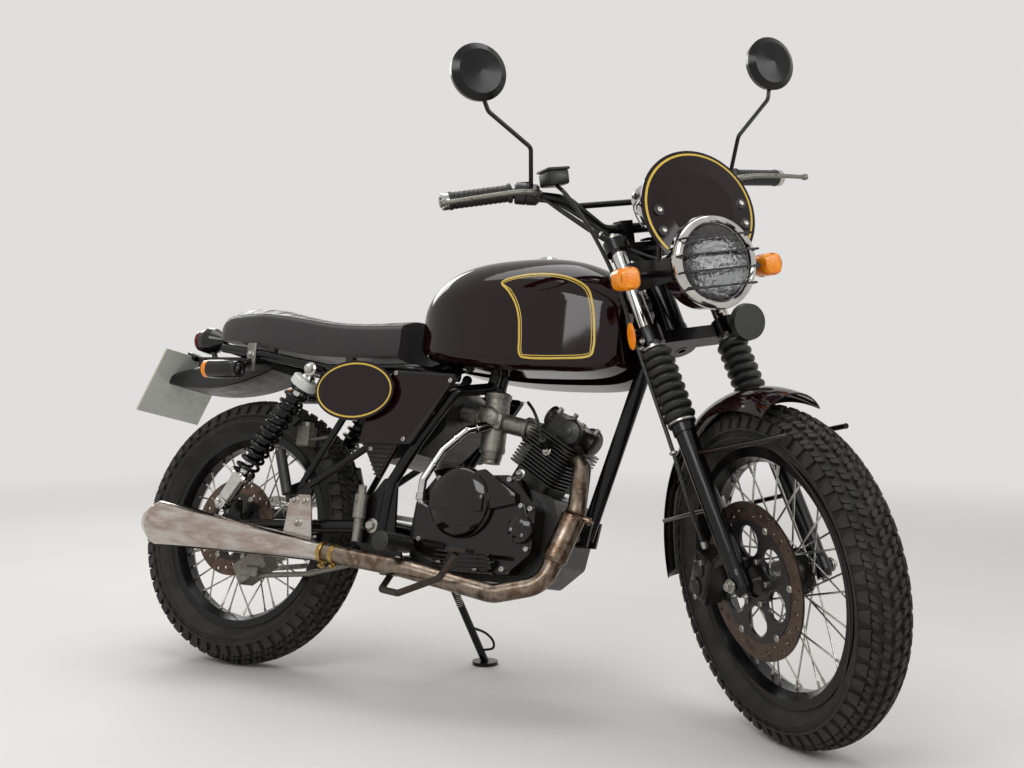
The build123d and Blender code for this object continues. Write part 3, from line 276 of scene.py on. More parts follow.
def cast_alloy():
    """Bare sand-cast aluminium, oxidised and a little oily."""
    return surface("cast_alloy", ["#5d5a54", "#8a877f", "#6f6a60"], 0.46, 0.85, patch_mm=14, grain_mm=0.7,
                   bump=0.15)


def zinc_bolt():
    """Zinc-plated fasteners: bright with a dull haze."""
    return surface("zinc_bolt", ["#96938c", "#bebbb3"], 0.32, 1.0, patch_mm=9)


def drawn_wire(name="drawn_wire", joint="front_wheel_spin", hub_mm=46.0):
    """Drawn stainless spoke wire on a hub of black enamel: bright threads, dark middle."""
    return with_core(surface(name, ["#9b9994", "#c6c4be"], 0.22, 1.0, patch_mm=20), joint, hub_mm,
                     "#141312", 0.35, 0.0)


def rear_wire():
    """The same wire on the wider rear hub."""
    return drawn_wire("rear_wire", "rear_wheel_spin", 60.0)


def brass_film():
    """Steel band clamps under a yellow heat film."""
    return surface("brass_film", ["#8f7440", "#b89a5a"], 0.28, 1.0, patch_mm=12)


def worn_enamel():
    """Black enamel worn to bare brown steel by boots."""
    return surface("worn_enamel", ["#1c1816", "#3f342c", "#221d1a"], 0.36, 0.6, patch_mm=18, grain_mm=1.0,
                   bump=0.08)


def ground_disc(name="ground_disc", joint="front_wheel_spin", spider_mm=114.0):
    """Ground brake steel under a brown film, on a spider of black enamel."""
    steel = surface(name, ["#40322b", "#66554b", "#4c3c34"], 0.32, 0.9, patch_mm=24, grain_mm=0.8, bump=0.06)
    return with_core(steel, joint, spider_mm, "#111011", 0.3, 0.0)


def rear_ground_disc():
    """The same steel on the smaller rear spider."""
    return ground_disc("rear_ground_disc", "rear_wheel_spin", 78.0)


def soft_rubber():
    """Moulded soft rubber of gaiters and grips."""
    return surface("soft_rubber", ["#0d0d0d", "#171615"], 0.45, patch_mm=30, grain_mm=0.7, bump=0.1)


def moulded_plastic():
    """Injection-moulded black plastic with a fine spark-eroded grain."""
    return surface("moulded_plastic", ["#0d0d0d", "#151413"], 0.4, patch_mm=60, grain_mm=0.6, bump=0.08)


def bright_plastic():
    """Black plastic moulded in a polished tool, for the lamp bodies: narrow, clear lights."""
    return surface("bright_plastic", ["#0b0909", "#110e0f"], 0.12, patch_mm=60)


def plate_sheet():
    """Pale reflective sheet of the blank number plate, slightly dirty."""
    return surface("plate_sheet", ["#b9bcb6", "#cfd2cc", "#c3c5bf"], 0.4, patch_mm=50)


def amber_lens():
    """Amber moulded acrylic: saturated, a little light passing through its edges."""
    return surface("amber_lens", ["#ee7d06", "#fb9c17"], 0.12, patch_mm=16, grain_mm=3.5, bump=0.35,
                   settings={"IOR": 1.49, "Subsurface Weight": 0.15, "Subsurface Scale": 0.004})


def ruby_lens():
    """Dark red moulded acrylic of the tail lamp: deep, with the relief of its inner prisms."""
    return surface("ruby_lens", ["#5e0708", "#7d0d0d"], 0.12, patch_mm=16, grain_mm=3.5, bump=0.5,
                   settings={"IOR": 1.49})


def pressed_glass():
    """Pressed headlamp glass, with shallow cells of about 9 mm that break up what shows behind."""
    material = surface("pressed_glass", ["#eef1f2", "#f8f9fa"], 0.05, patch_mm=60, spread=0.02,
                       settings={"Transmission Weight": 1.0, "IOR": 1.5})
    tree = material.node_tree
    place = add(tree, "ShaderNodeTexCoord").outputs["Object"]
    cells = add(tree, "ShaderNodeTexVoronoi", {"Scale": 1 / (9.0 * MM)}, {"Vector": place})
    relief = add(tree, "ShaderNodeBump", {"Strength": 0.5, "Distance": 1.2 * MM},
                 {"Height": cells.outputs["Distance"]})
    tree.links.new(relief.outputs["Normal"], tree.nodes["Principled BSDF"].inputs["Normal"])
    return material


def silvered_bowl():
    """Vacuum-silvered reflector with soft facets; its near-white tone, partly diffuse, is in part the
    silver's own colour and in part a painted reflection.
    """
    # near-white tones with a share left diffuse: the silver's colour, brightened into a painted reflection
    return surface("silvered_bowl", ["#dcdcda", "#f6f6f4"], 0.22, 0.75, patch_mm=12, grain_mm=9, bump=1.0)


def mirror_glass():
    """Silvered mirror glass: a sharp reflection, a little darker than what it shows."""
    return surface("mirror_glass", ["#aab0b4", "#b4b9bc"], 0.03, 1.0, patch_mm=80, spread=0.01)


def dial_face():
    """Screen-printed matt black dial: flat and even."""
    return surface("dial_face", ["#0c0c0d", "#121213"], 0.5, patch_mm=20)


def dial_print():
    """White printing ink of the dial marks: matt and opaque."""
    return surface("dial_print", ["#d8d8d4", "#e4e4e0"], 0.5, patch_mm=20)


def cable_sheath():
    """Extruded plastic sheath of cables and hoses: black with a soft sheen."""
    return surface("cable_sheath", ["#0c0c0c", "#141413"], 0.36, patch_mm=30, grain_mm=1.5, bump=0.05)


def stitched_leather():
    """Grained black leatherette: pebble grain about 2 mm across, with a soft sheen."""
    material = surface("stitched_leather", ["#100c0d", "#171213", "#201a1a"], 0.36, patch_mm=70, spread=0.07,
                       settings={"Sheen Weight": 0.15, "Sheen Roughness": 0.5})
    tree = material.node_tree
    place = add(tree, "ShaderNodeTexCoord").outputs["Object"]
    pebbles = add(tree, "ShaderNodeTexVoronoi", {"Scale": 1 / (2.2 * MM)}, {"Vector": place})
    relief = add(tree, "ShaderNodeBump", {"Strength": 0.7, "Distance": 0.25 * MM},
                 {"Height": pebbles.outputs["Distance"]})
    tree.links.new(relief.outputs["Normal"], tree.nodes["Principled BSDF"].inputs["Normal"])
    return material


FINISHES = {}


def finish(maker):
    """One shared material for each finish."""
    if maker.__name__ not in FINISHES:
        FINISHES[maker.__name__] = maker()
    return FINISHES[maker.__name__]


# Forms: grids of points joined by faces


def smooth_path(points, samples=6):
    """Points along a smooth curve through a few given ones, by Catmull-Rom weights."""
    given = [Vector(p) for p in points]
    ends = [2 * given[0] - given[1], *given, 2 * given[-1] - given[-2]]
    path = []
    for a, b, c, d in zip(ends, ends[1:], ends[2:], ends[3:]):
        for step in range(samples):
            t = step / samples
            path.append(0.5 * (2 * b + (c - a) * t + (2 * a - 5 * b + 4 * c - d) * t * t
                               + (3 * b - a - 3 * c + d) * t * t * t))
    path.append(given[-1])
    return path


def facing(direction):
    """Two directions square to one direction and to each other."""
    aim = Vector(direction).normalized()
    side = aim.cross(LEFT if abs(aim.y) < 0.9 else Vector((1, 0, 0))).normalized()
    return aim, side, aim.cross(side)


class Form:
    """Gathers the faces of one piece, in millimetres of the upright motorcycle."""

    def __init__(self):
        self.mesh = bmesh.new()
        self.paint = 0

    def skin(self, rows, around=True, along=False, caps=True):
        """Join rows of points by faces, closed around each row and along the rows as asked."""
        grid = [[self.mesh.verts.new(point) for point in row] for row in rows]
        count = len(grid[0])
        for i in range(len(grid) if along else len(grid) - 1):
            one, two = grid[i], grid[(i + 1) % len(grid)]
            for j in range(count if around else count - 1):
                k = (j + 1) % count
                self.face([one[j], one[k], two[k], two[j]])
        if caps and around and not along:
            self.face(grid[0])
            self.face(grid[-1])

    def face(self, corners):
        """One face of the current finish."""
        made = self.mesh.faces.new(corners)
        made.material_index = self.paint

    def turned(self, start, direction, profile, steps=40, closed=False):
        """A turned form from (distance along the axis, radius) pairs."""
        aim, side, up = facing(direction)
        start = Vector(start)
        rows = []
        for along, radius in profile:
            rows.append([
                start + aim * along + (side * math.cos(t) + up * math.sin(t)) * max(radius, 0.05)
                for t in (2 * math.pi * n / steps for n in range(steps))
            ])
        self.skin(rows, along=closed)

    def rod(self, start, end, radius, steps=14, edge=0.8):
        """A round bar with eased ends."""
        start, end = Vector(start), Vector(end)
        length = (end - start).length
        edge = min(edge, length / 3, radius / 2)
        self.turned(start, end - start, [(0, radius - edge), (edge, radius), (length - edge, radius),
                                         (length, radius - edge)], steps)

    def tube(self, points, radius, steps=12, smooth=6, closed=False):
        """A round tube along a smooth path, of one radius or of one for each given point."""
        path = smooth_path(points, smooth) if smooth else [Vector(p) for p in points]
        radii = radius if isinstance(radius, (list, tuple)) else [radius] * len(points)
        count = len(path)
        rows = []
        side = None
        for n, place in enumerate(path):
            before = path[n - 1 if closed else max(n - 1, 0)]
            after = path[(n + 1) % count if closed else min(n + 1, count - 1)]
            aim = (after - before).normalized()
            side = facing(aim)[1] if side is None else (side - aim * side.dot(aim)).normalized()
            up = aim.cross(side)
            t = n / max(1, count - 1) * (len(radii) - 1)
            low = min(int(t), len(radii) - 2) if len(radii) > 1 else 0
            thick = radii[low] + (radii[min(low + 1, len(radii) - 1)] - radii[low]) * (t - low)
            rows.append([place + (side * math.cos(a) + up * math.sin(a)) * thick
                         for a in (2 * math.pi * k / steps for k in range(steps))])
        self.skin(rows, along=closed)

    def block(self, centre, size, turn=None, edge=2.0):
        """A box with rounded edges."""
        lump = bmesh.new()
        bmesh.ops.create_cube(lump, size=1.0)
        bmesh.ops.scale(lump, vec=size, verts=lump.verts)
        if edge:
            bmesh.ops.bevel(lump, geom=lump.edges[:], offset=min(edge, min(size) / 2.2), segments=2,
                            affect="EDGES", profile=0.5)
        place = Matrix.Translation(Vector(centre)) @ (turn.to_4x4() if turn else Matrix.Identity(4))
        self.merge(lump, place)

    def plate(self, outline, thickness, place=None, edge=1.0):
        """A flat plate from an outline in its own plane, with eased edges."""
        lump = bmesh.new()
        low = [lump.verts.new((u, v, 0)) for u, v in outline]
        lump.faces.new(low)
        grown = bmesh.ops.extrude_face_region(lump, geom=lump.faces[:])
        lifted = [item for item in grown["geom"] if isinstance(item, bmesh.types.BMVert)]
        bmesh.ops.translate(lump, vec=(0, 0, thickness), verts=lifted)
        if edge:
            rims = [e for e in lump.edges if abs(e.verts[0].co.z - e.verts[1].co.z) < 1e-6]
            bmesh.ops.bevel(lump, geom=rims, offset=edge, segments=2, affect="EDGES", profile=0.5)
        self.merge(lump, place or Matrix.Identity(4))

    def merge(self, lump, place):
        """Take another mesh in, once placed."""
        lump.transform(place)
        for each in lump.faces:
            each.material_index = self.paint
        carrier = bpy.data.meshes.new("carrier")
        lump.to_mesh(carrier)
        self.mesh.from_mesh(carrier)
        bpy.data.meshes.remove(carrier)
        lump.free()

    def bolt(self, centre, direction, across=10.0, height=6.0, washer=True):
        """A hexagon head on its washer."""
        aim = Vector(direction).normalized()
        centre = Vector(centre)
        if washer:
            self.turned(centre, aim, [(0, across * 0.8), (1.6, across * 0.8), (2.0, across * 0.74)], 20)
        self.turned(centre + aim * 1.5, aim, [
            (0, across / 2), (height - 1.5, across / 2), (height, across / 2 - 1.4)], 6)

    def cap_screw(self, centre, direction, radius=5.0, height=6.0):
        """A round socket-head screw."""
        self.turned(centre, direction, [
            (0, radius), (height - 0.8, radius), (height, radius - 0.8), (height, radius * 0.5),
            (height - 2.4, radius * 0.46),
        ], 18)

    def done(self, name, makers, body, slot, place=None, replaces=(), subdivide=0, sharp=32.0):
        """Write the piece as an object that rides on its body."""
        bmesh.ops.remove_doubles(self.mesh, verts=self.mesh.verts, dist=0.001)
        bmesh.ops.recalc_face_normals(self.mesh, faces=self.mesh.faces)
        data = bpy.data.meshes.new(name)
        self.mesh.to_mesh(data)
        self.mesh.free()
        data.transform(place if place is not None else CHASSIS)
        for maker in makers:
            data.materials.append(finish(maker))
        data.polygons.foreach_set("use_smooth", [True] * len(data.polygons))
        data.set_sharp_from_angle(angle=math.radians(sharp))
        piece = bpy.data.objects.new(name, data)
        bpy.context.scene.collection.objects.link(piece)
        if subdivide:
            modifier = piece.modifiers.new("subdivide", "SUBSURF")
            modifier.levels = modifier.render_levels = subdivide
        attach(piece, body)
        if replaces:
            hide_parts(*replaces)
        return piece


def filleted(points, radii):
    """A path of straight runs joined by tangent arcs."""
    given = [Vector(p) for p in points]
    path = [given[0]]
    for before, corner, after, radius in zip(given, given[1:], given[2:], radii):
        into, out = (corner - before).normalized(), (after - corner).normalized()
        half = into.angle(out) / 2
        start = corner - into * radius * math.tan(half)
        centre = corner + (out - into).normalized() * radius / math.cos(half)
        axis = into.cross(out).normalized()
        for step in range(9):
            turn = Matrix.Rotation(2 * half * step / 8, 3, axis)
            path.append(centre + turn @ (start - centre))
    path.append(given[-1])
    return path


def barrel_turn():
    """Turn of a box that lies square to the leaning cylinder."""
    return Matrix((BARREL_FRONT, LEFT, BARREL_DIR)).transposed()


def side_place(y):
    """Placing of a side plate whose outline is (x, z) and which grows outwards from y."""
    outward = -1 if y < 0 else 1
    return Matrix(((1, 0, 0, 0), (0, 0, outward, y), (0, 1, 0, 0), (0, 0, 0, 1)))


def spun(centre, y, radius, angle):
    """A point round a wheel."""
    return centre + Vector((radius * math.cos(angle), y, radius * math.sin(angle)))


def surface_tree(node):
    """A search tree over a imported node, to lay pieces on it."""
    data = frame["nodes"][node].data
    return BVHTree.FromPolygons([v.co.copy() for v in data.vertices],
                                [tuple(p.vertices) for p in data.polygons])


def laid_on(tree, point, towards, place, lift):
    """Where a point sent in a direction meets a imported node, lifted off it, in upright millimetres."""
    back = place.inverted()
    start = place @ Vector(point)
    aim = (place.to_3x3() @ Vector(towards)).normalized()
    hit, normal, _, _ = tree.ray_cast(start, aim)
    if hit is None:
        return Vector(point)
    if normal.dot(aim) > 0:
        normal = -normal
    return back @ (hit + normal * lift * MM)


# Wheels


def crown_radius(half, drop):
    """Radius of the arc over the tread, from its half width and its drop at the shoulder."""
    return (half * half + drop * drop) / (2 * drop)


TREAD_SHARE = 0.8
TREAD_DROP = 17.0


def tyre_form(centre, radius, half, seat, block_height, pitches):
    """A casing with rows of split tread blocks whose tips reach the tyre's full radius."""
    form = Form()
    edge = half * TREAD_SHARE
    crown = crown_radius(edge, TREAD_DROP)
    reach = math.asin(edge / crown)
    lip = seat + RIM_LIP
    middle = (lip + radius - TREAD_DROP) / 2

    def over(arc, depth):
        return crown * math.sin(arc) * (1 - depth / crown), radius - crown + (crown - depth) * math.cos(arc)

    wall = [(27, seat + 2), (27.5, lip), (31, lip + 5)]
    for step in range(7):
        t = step / 6
        low, high = Vector((34, lip + 8)), Vector(over(reach, block_height))
        belly = Vector((half + 1.5, middle))
        point = low * (1 - t) ** 2 + belly * 2 * t * (1 - t) + high * t * t
        wall.append((point.x, point.y))
    tread = [over(reach * (1 - 2 * s / 12), block_height) for s in range(1, 12)]
    outer = wall + tread + [(-y, r) for y, r in reversed(wall)]
    inner = [(-18, seat + 2), (-half + 14, middle), (0, radius - 26), (half - 14, middle), (18, seat + 2)]
    form.turned(centre, LEFT, outer + inner, 144, closed=True)
    for side in (-1, 1):
        for rise, lift in ((0.35, 0.9), (0.62, 0.9)):
            y = half + 0.2 if rise < 0.5 else half - 1.4
            r = lip + (radius - TREAD_DROP - lip) * rise
            form.turned(centre, LEFT, [(side * y, r - 2), (side * (y + lift), r), (side * y, r + 2),
                                       (side * (y - 3), r)], 120, closed=True)
    rows = [
        # share of the arc, width share, length share, stagger
        (0.0, 0.30, 0.74, 0.0), (0.42, 0.30, 0.74, 0.5), (-0.42, 0.30, 0.74, 0.5),
        (0.84, 0.28, 0.78, 0.0), (-0.84, 0.28, 0.78, 0.0),
    ]
    pitch = 2 * math.pi / pitches
    outline = [(-1, 0.45), (-0.62, 1), (0.5, 1), (1, 0.62), (1, -0.45), (0.62, -1), (-0.5, -1), (-1, -0.62)]
    for number in range(pitches):
        for share, wide, long, stagger in rows:
            for half_block in (-1, 1):
                ring_low, ring_high = [], []
                for u, v in outline:
                    v = v * 0.46 + half_block * 0.54
                    skew = 0.10 * u * (1 if share >= 0 else -1)
                    for depth, shrink, ring in ((block_height + 1.0, 1.0, ring_low), (0.0, 0.86, ring_high)):
                        arc = reach * (share + u * wide * 0.5 * shrink)
                        angle = (number + stagger + (v * shrink * long / 2) + skew) * pitch
                        y, r = over(arc, depth)
                        ring.append(spun(centre, y, r, angle))
                form.skin([ring_low, ring_high])
        for side in (-1, 1):
            ring_low, ring_high = [], []
            offset = 0.5 if side > 0 else 0.25
            for rise, v in ((0.0, -0.36), (0.0, 0.36), (0.55, 0.3), (1.0, 0.18), (1.0, -0.18), (0.55, -0.3)):
                y, r = over(reach, 1.0)
                y, r = y + (half - 0.8 - y) * rise * 0.8, r - (TREAD_DROP + 6) * rise
                angle = (number + offset + v) * pitch
                ring_low.append(spun(centre, side * (y - 5), r - 2, angle))
                ring_high.append(spun(centre, side * (y + 1.2), r + 1.0 - rise, angle))
            form.skin([ring_low, ring_high])
    return form


SPOKES = 36
# how far round the wheel a spoke's foot lies from its nipple
SPOKE_LEAN = math.radians(62)
RIVETS = 6


def wheel_trim(centre, seat, flange, right, left_end, name, body):
    """Spoke nipples at the rim and the tyre valve."""
    form = Form()
    right_flange, left_flange = right + 8, left_end - 8
    for number in range(SPOKES):
        angle = 2 * math.pi * number / SPOKES
        side = 1 if number % 2 else -1
        pull = 1 if (number // 2) % 2 else -1
        foot_angle = angle + pull * SPOKE_LEAN
        foot = spun(centre, (left_flange if side > 0 else right_flange) + pull * 2.2, flange - 6, foot_angle)
        tip = spun(centre, side * 5, seat - 15, angle)
        aim = (foot - tip).normalized()
        form.turned(tip, aim, [(-3, 3.6), (1, 3.8), (3, 2.9), (15, 2.7), (16, 2.0)], 8)
        form.turned(foot - aim * 1.0, LEFT * pull, [(-2.5, 3.2), (0, 4.0), (2.2, 2.6)], 8)
    valve = spun(centre, 0, seat - 17, math.radians(200))
    aim = (centre - valve).normalized()
    form.turned(valve, aim, [(0, 6), (3, 6), (4, 3.2), (20, 3.0), (20, 4.2), (32, 4.0), (34, 2.8)], 14)
    form.done(name, [zinc_bolt], body, "spokes", STEERED if body == "front_wheel" else CHASSIS)


def build_wheels(pitches, block_height):
    """Tyres, spoke nipples and valves, and the rivets and screws of the discs."""
    tyre = tyre_form(FRONT_AXLE, FRONT_RADIUS, FRONT_HALF, FRONT_SEAT, block_height, pitches)
    tyre.done("front_tread", [moulded_tyre_rubber], "front_wheel", "tyre", STEERED, ["front_tyre"], sharp=40)
    tyre = tyre_form(REAR_AXLE, REAR_RADIUS, REAR_HALF, REAR_SEAT, block_height, pitches - 2)
    tyre.done("rear_tread", [moulded_tyre_rubber], "rear_wheel", "tyre", CHASSIS, ["rear_tyre"], sharp=40)
    wheel_trim(FRONT_AXLE, FRONT_SEAT, 44, -57, 52, "front_nipples", "front_wheel")
    wheel_trim(REAR_AXLE, REAR_SEAT, 58, -63, 68, "rear_nipples", "rear_wheel")
    for name, centre, y, inner, hub, body, place in (
        ("front_disc_rivets", FRONT_AXLE, -60.0, 114, 44, "front_wheel", STEERED),
        ("rear_disc_rivets", REAR_AXLE, -66.0, 78, 40, "rear_wheel", CHASSIS),
    ):
        form = Form()
        for number in range(RIVETS):
            angle = 2 * math.pi * number / RIVETS
            form.turned(spun(centre, y + 3.2, inner - 2, angle), -LEFT,
                        [(0, 7), (6.6, 7), (8, 5.8), (8, 3.6), (7, 3.4)], 20)
            form.cap_screw(spun(centre, y - 2.8, hub, angle), -LEFT, 5.5, 6)
        form.done(name, [zinc_bolt], body, "spokes", place)


# Bodywork


def line_on(form, tree, points, width, place, towards, lift=0.35, closed=True, samples=10):
    """A painted line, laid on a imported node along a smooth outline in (x, z), seen from the side."""
    side = -1 if towards[1] > 0 else 1
    given = [Vector((x, side * 300, z)) for x, z in points]
    if closed:
        loop = [given[-1], *given, given[0], given[1]]
        path = smooth_path(loop, samples)[samples:-samples - 1]
    else:
        path = smooth_path(given, samples)
    count = len(path)
    rows = []
    for n, point in enumerate(path):
        before = path[n - 1 if closed else max(n - 1, 0)]
        after = path[(n + 1) % count if closed else min(n + 1, count - 1)]
        aim = (after - before).normalized()
        across = Vector((aim.z, 0, -aim.x)) * width / 2
        rows.append([laid_on(tree, point + across * s, towards, place,
                             lift + (0.25 if s == 0 else 0)) for s in (-1, 0, 1)])
    form.skin(rows, around=False, along=closed, caps=False)


def inset(points, distance):
    """The same closed outline in (x, z), moved in by a distance."""
    count = len(points)
    moved = []
    for n, (x, z) in enumerate(points):
        before, after = Vector(points[n - 1]), Vector(points[(n + 1) % count])
        aim = (after - before).normalized()
        moved.append((x + aim.y * distance, z - aim.x * distance))
    return moved


TANK_PANEL = [
    # x, z round the lined panel, from the top rear corner forwards
    (688, 866), (736, 880), (790, 882), (842, 873), (882, 851), (899, 815), (907, 766), (909, 728),
    (898, 708), (835, 702), (772, 702), (752, 710), (747, 745), (741, 786), (729, 817), (710, 843),
]


def build_tank_lines(width):
    """Double gold lines on both flanks of the tank."""
    tree = surface_tree("fuel_tank")
    form = Form()
    for towards in ((0, 1, 0), (0, -1, 0)):
        line_on(form, tree, TANK_PANEL, width, CHASSIS, towards)
        line_on(form, tree, inset(TANK_PANEL, width * 1.25), width * 0.4, CHASSIS, towards)
    form.done("tank_lining", [coach_line], "chassis", "gloss_black")


SEAT_ROWS = [
    # x, half width, bottom, edge height, crown height
    (-126, 66, 758, 778, 788), (-120, 82, 756, 787, 806), (-108, 92, 754, 800, 826), (-88, 98, 752, 809, 840),
    (-50, 105, 748, 812, 845), (10, 114, 742, 812, 842), (50, 117, 734, 809, 836), (100, 120, 724, 803, 825),
    (160, 122, 713, 794, 813), (210, 122, 708, 786, 805), (260, 122, 706, 780, 801),
    (320, 120, 705, 777, 801), (380, 118, 704, 777, 804), (434, 117, 704, 778, 806),
]
SEAT_STEP = 3.0
SEWN_WIDTH = 12.0


def height_at(path, x):
    """The second coordinate of a path where its first one is x."""
    for one, two in zip(path, path[1:]):
        if one.x <= x <= two.x:
            return one.y + (two.y - one.y) * (x - one.x) / max(1e-6, two.x - one.x)
    return path[-1].y


def build_seat(rib_pitch, rib_depth):
    """The seat: a crowned top sewn in ribs, a piped edge and plain sides."""
    form = Form()
    columns = [smooth_path([Vector((row[0], row[n], 0)) for row in SEAT_ROWS], 12) for n in (1, 2, 3, 4)]
    first, last = SEAT_ROWS[0][0], SEAT_ROWS[-1][0]
    count = int((last - first) / SEAT_STEP)
    rows = []
    for number in range(count + 1):
        x = first + (last - first) * number / count
        half, bottom, edge, crown = [height_at(column, x) for column in columns]
        sewn = rib_depth * max(0.0, 1 - abs((x % rib_pitch) / rib_pitch - 0.5) * 2 * rib_pitch / SEWN_WIDTH)
        row = []
        for step in range(13):
            u = -1 + 2 * step / 12
            dip = sewn if abs(u) < 0.86 else 0.0
            row.append(Vector((x, u * (half - 12), crown - (crown - edge - 4) * abs(u) ** 2.6 - dip)))
        side = [Vector((x, half - 5, edge - 2)), Vector((x, half - 1, edge - 10)),
                Vector((x, half - 3, (edge + bottom) / 2)), Vector((x, half - 1, bottom + 10)),
                Vector((x, half - 5, bottom + 1))]
        base = [Vector((x, half * s, bottom)) for s in (0.8, 0.4, 0.0, -0.4, -0.8)]
        row += side + base + [Vector((p.x, -p.y, p.z)) for p in reversed(side)]
        rows.append(row)
    form.skin(rows)
    seat = form.done("seat_cover", [stitched_leather], "chassis", "leather", CHASSIS, ["seat"], sharp=60)
    seams = Form()
    for side in (-1, 1):
        route = [(x, side * (half - 9.5), edge + 1.0) for x, half, bottom, edge, crown in SEAT_ROWS[1:]]
        seams.tube(route, 1.8, 8, 4)
    seams.done("seat_piping", [stitched_leather], "chassis", "leather")
    pan = Form()
    for x, z in ((70, 719), (300, 692)):
        for side in (-1, 1):
            pan.turned((x, side * 104, z), (0, 0, 1), [(0, 10), (6, 12), (20, 12)], 16)
    pan.done("seat_buffers", [soft_rubber], "chassis", "rubber")


PANEL_CENTRE = (363.0, 623.0)
PANEL_HALVES = (98.0, 59.0)
PANEL_FACE = 136 + 20 + 7.2
RING_STEPS = 96


def build_panels():
    """Gold rings, vent slats, screws and the pale bevel of the side panels."""
    lines, screws, slats = Form(), Form(), Form()
    for side in (-1, 1):
        y = side * PANEL_FACE
        rings = []
        for n in range(RING_STEPS):
            t = 2 * math.pi * n / RING_STEPS
            ring = []
            for grow, lift in ((-1.8, 0), (0, 0.5), (1.8, 0)):
                ring.append(Vector((PANEL_CENTRE[0] + (PANEL_HALVES[0] + grow) * math.cos(t), y + side * lift,
                                    PANEL_CENTRE[1] + (PANEL_HALVES[1] + grow) * math.sin(t))))
            rings.append(ring)
        lines.skin(rings, around=False, along=True, caps=False)
        for x, z in ((412, 500), (460, 664), (600, 650), (500, 522)):
            screws.cap_screw((x, side * 137 if z < 510 else side * 147.5, z), (0, side, 0), 5.0, 4)
        for n in range(7):
            z = 446 + n * 9.5
            reach = 6 + n * 5.2
            slats.block((434, side * 139, z), (reach * 1.9, 3.5, 3.2),
                        Matrix.Rotation(side * 0.3, 3, "X"), 0.8)
        bevel = [(608, 655), (616, 664), (520, 514), (505, 512)]
        slats.paint = 1
        slats.plate(bevel, 3.0, side_place(side * 147.0), 1.0)
        slats.plate([(455, 671), (612, 663), (606, 657), (455, 665)], 2.4, side_place(side * 147.2), 0.8)
        slats.paint = 0
    lines.done("panel_rings", [coach_line], "chassis", "gloss_black")
    screws.done("panel_screws", [zinc_bolt], "chassis", "engine_alloy")
    slats.done("panel_slats", [moulded_plastic, bright_plastic], "chassis", "black_plastic")


# Suspension


SHOCK_OUT = 137.0
SHOCK_TOP = (224, 672)
SHOCK_FOOT = (18, 361)
COIL_RADIUS = 23.5
COIL_WIRE = 4.1


def build_shocks(turns):
    """Rear shocks: eyes, white spring seat, open black coil round a chrome body."""
    for side, name in ((-1, "right_shock"), (1, "left_shock")):
        top = Vector((SHOCK_TOP[0], side * SHOCK_OUT, SHOCK_TOP[1]))
        foot = Vector((SHOCK_FOOT[0], side * SHOCK_OUT, SHOCK_FOOT[1]))
        aim = (foot - top).normalized()
        length = (foot - top).length
        form = Form()
        for point in (top, foot):
            form.turned(point - LEFT * 14, LEFT, [(0, 12), (2, 15.5), (26, 15.5), (28, 12)], 28)
        form.turned(top, aim, [(8, 10), (16, 12), (22, 17), (26, 17)], 28)
        form.turned(top, aim, [(30, 9), (34, 11.0), (length - 86, 11.0), (length - 84, 15)], 28)
        form.turned(top, aim, [
            (length - 84, 27), (length - 80, 30), (length - 74, 30), (length - 72, 21), (length - 60, 19),
            (length - 14, 18.5), (length - 8, 14), (length - 2, 10)], 32)
        form.bolt(top + LEFT * side * 14, LEFT * side, 15, 11)
        form.bolt(foot + LEFT * side * 14, LEFT * side, 14, 10)
        form.paint = 1
        form.turned(top, aim, [(26, 12), (26, 28), (29, 31), (45, 31), (47, 29), (47, 12)], 36)
        form.paint = 2
        start, end = 49.0, length - 86.0
        route = []
        steps = turns * 20
        _, u, v = facing(aim)
        for n in range(steps + 1):
            t = n / steps
            a = 2 * math.pi * turns * t
            spoke = (u * math.cos(a) + v * math.sin(a)) * COIL_RADIUS
            route.append(top + aim * (start + (end - start) * t) + spoke)
        form.tube(route, COIL_WIRE, 10, 0)
        form.turned(top, aim, [(start + 20, 15.5), (start + 24, 17), (end - 40, 17), (end - 36, 15.5)], 24)
        form.done(name, [chrome_plate, plate_sheet, baked_enamel], "chassis", "chrome", CHASSIS,
                  ["rear_shocks"] if side < 0 else [])


GAITER_LOW, GAITER_HIGH = 326.0, 492.0


def build_gaiters(folds):
    """Fork gaiters with rounded folds, their clips and the oil seal holders."""
    form = Form()
    low, high = GAITER_LOW, GAITER_HIGH
    fold = (high - low - 14) / folds
    profile = [(low - 2, 17), (low - 2, 27), (low + 5, 27.5), (low + 7, 25)]
    for n in range(folds):
        base = low + 7 + n * fold
        for t in (0.12, 0.3, 0.5, 0.7, 0.88):
            profile.append((base + fold * t, 24 + 8.5 * math.sin(math.pi * t) ** 0.8))
        profile.append((base + fold, 23.5))
    profile += [(high - 5, 25), (high, 25), (high, 17)]
    for side in (-1, 1):
        form.turned(FRONT_AXLE + LEFT * side * FORK_HALF, STEER_DIR, profile, 44)
    form.done("fork_bellows", [soft_rubber], "steering", "rubber", STEERED, ["fork_gaiters"])
    clips = Form()
    for side in (-1, 1):
        base = FRONT_AXLE + LEFT * side * FORK_HALF
        clips.turned(base, STEER_DIR, [(low + 0.5, 28.2), (low + 3.5, 28.2)], 40)
        clips.turned(base, STEER_DIR, [(high - 4.5, 25.8), (high - 1.5, 25.8)], 40)
        clips.bolt(base - STEER_DIR * 20, -STEER_DIR, 12, 6)
        clips.turned(on_leg(745, side * FORK_HALF), STEER_DIR, [(-1, 17.5), (4, 17.5), (6, 15), (7, 9)], 30)
        clips.bolt(on_leg(750, side * FORK_HALF), STEER_DIR, 14, 7, False)
        clips.bolt(FRONT_AXLE + LEFT * side * (FORK_HALF + 24), LEFT * side, 17, 9)
    clips.done("fork_clips", [zinc_bolt], "steering", "chrome", STEERED)


# Lamps, screen and instruments


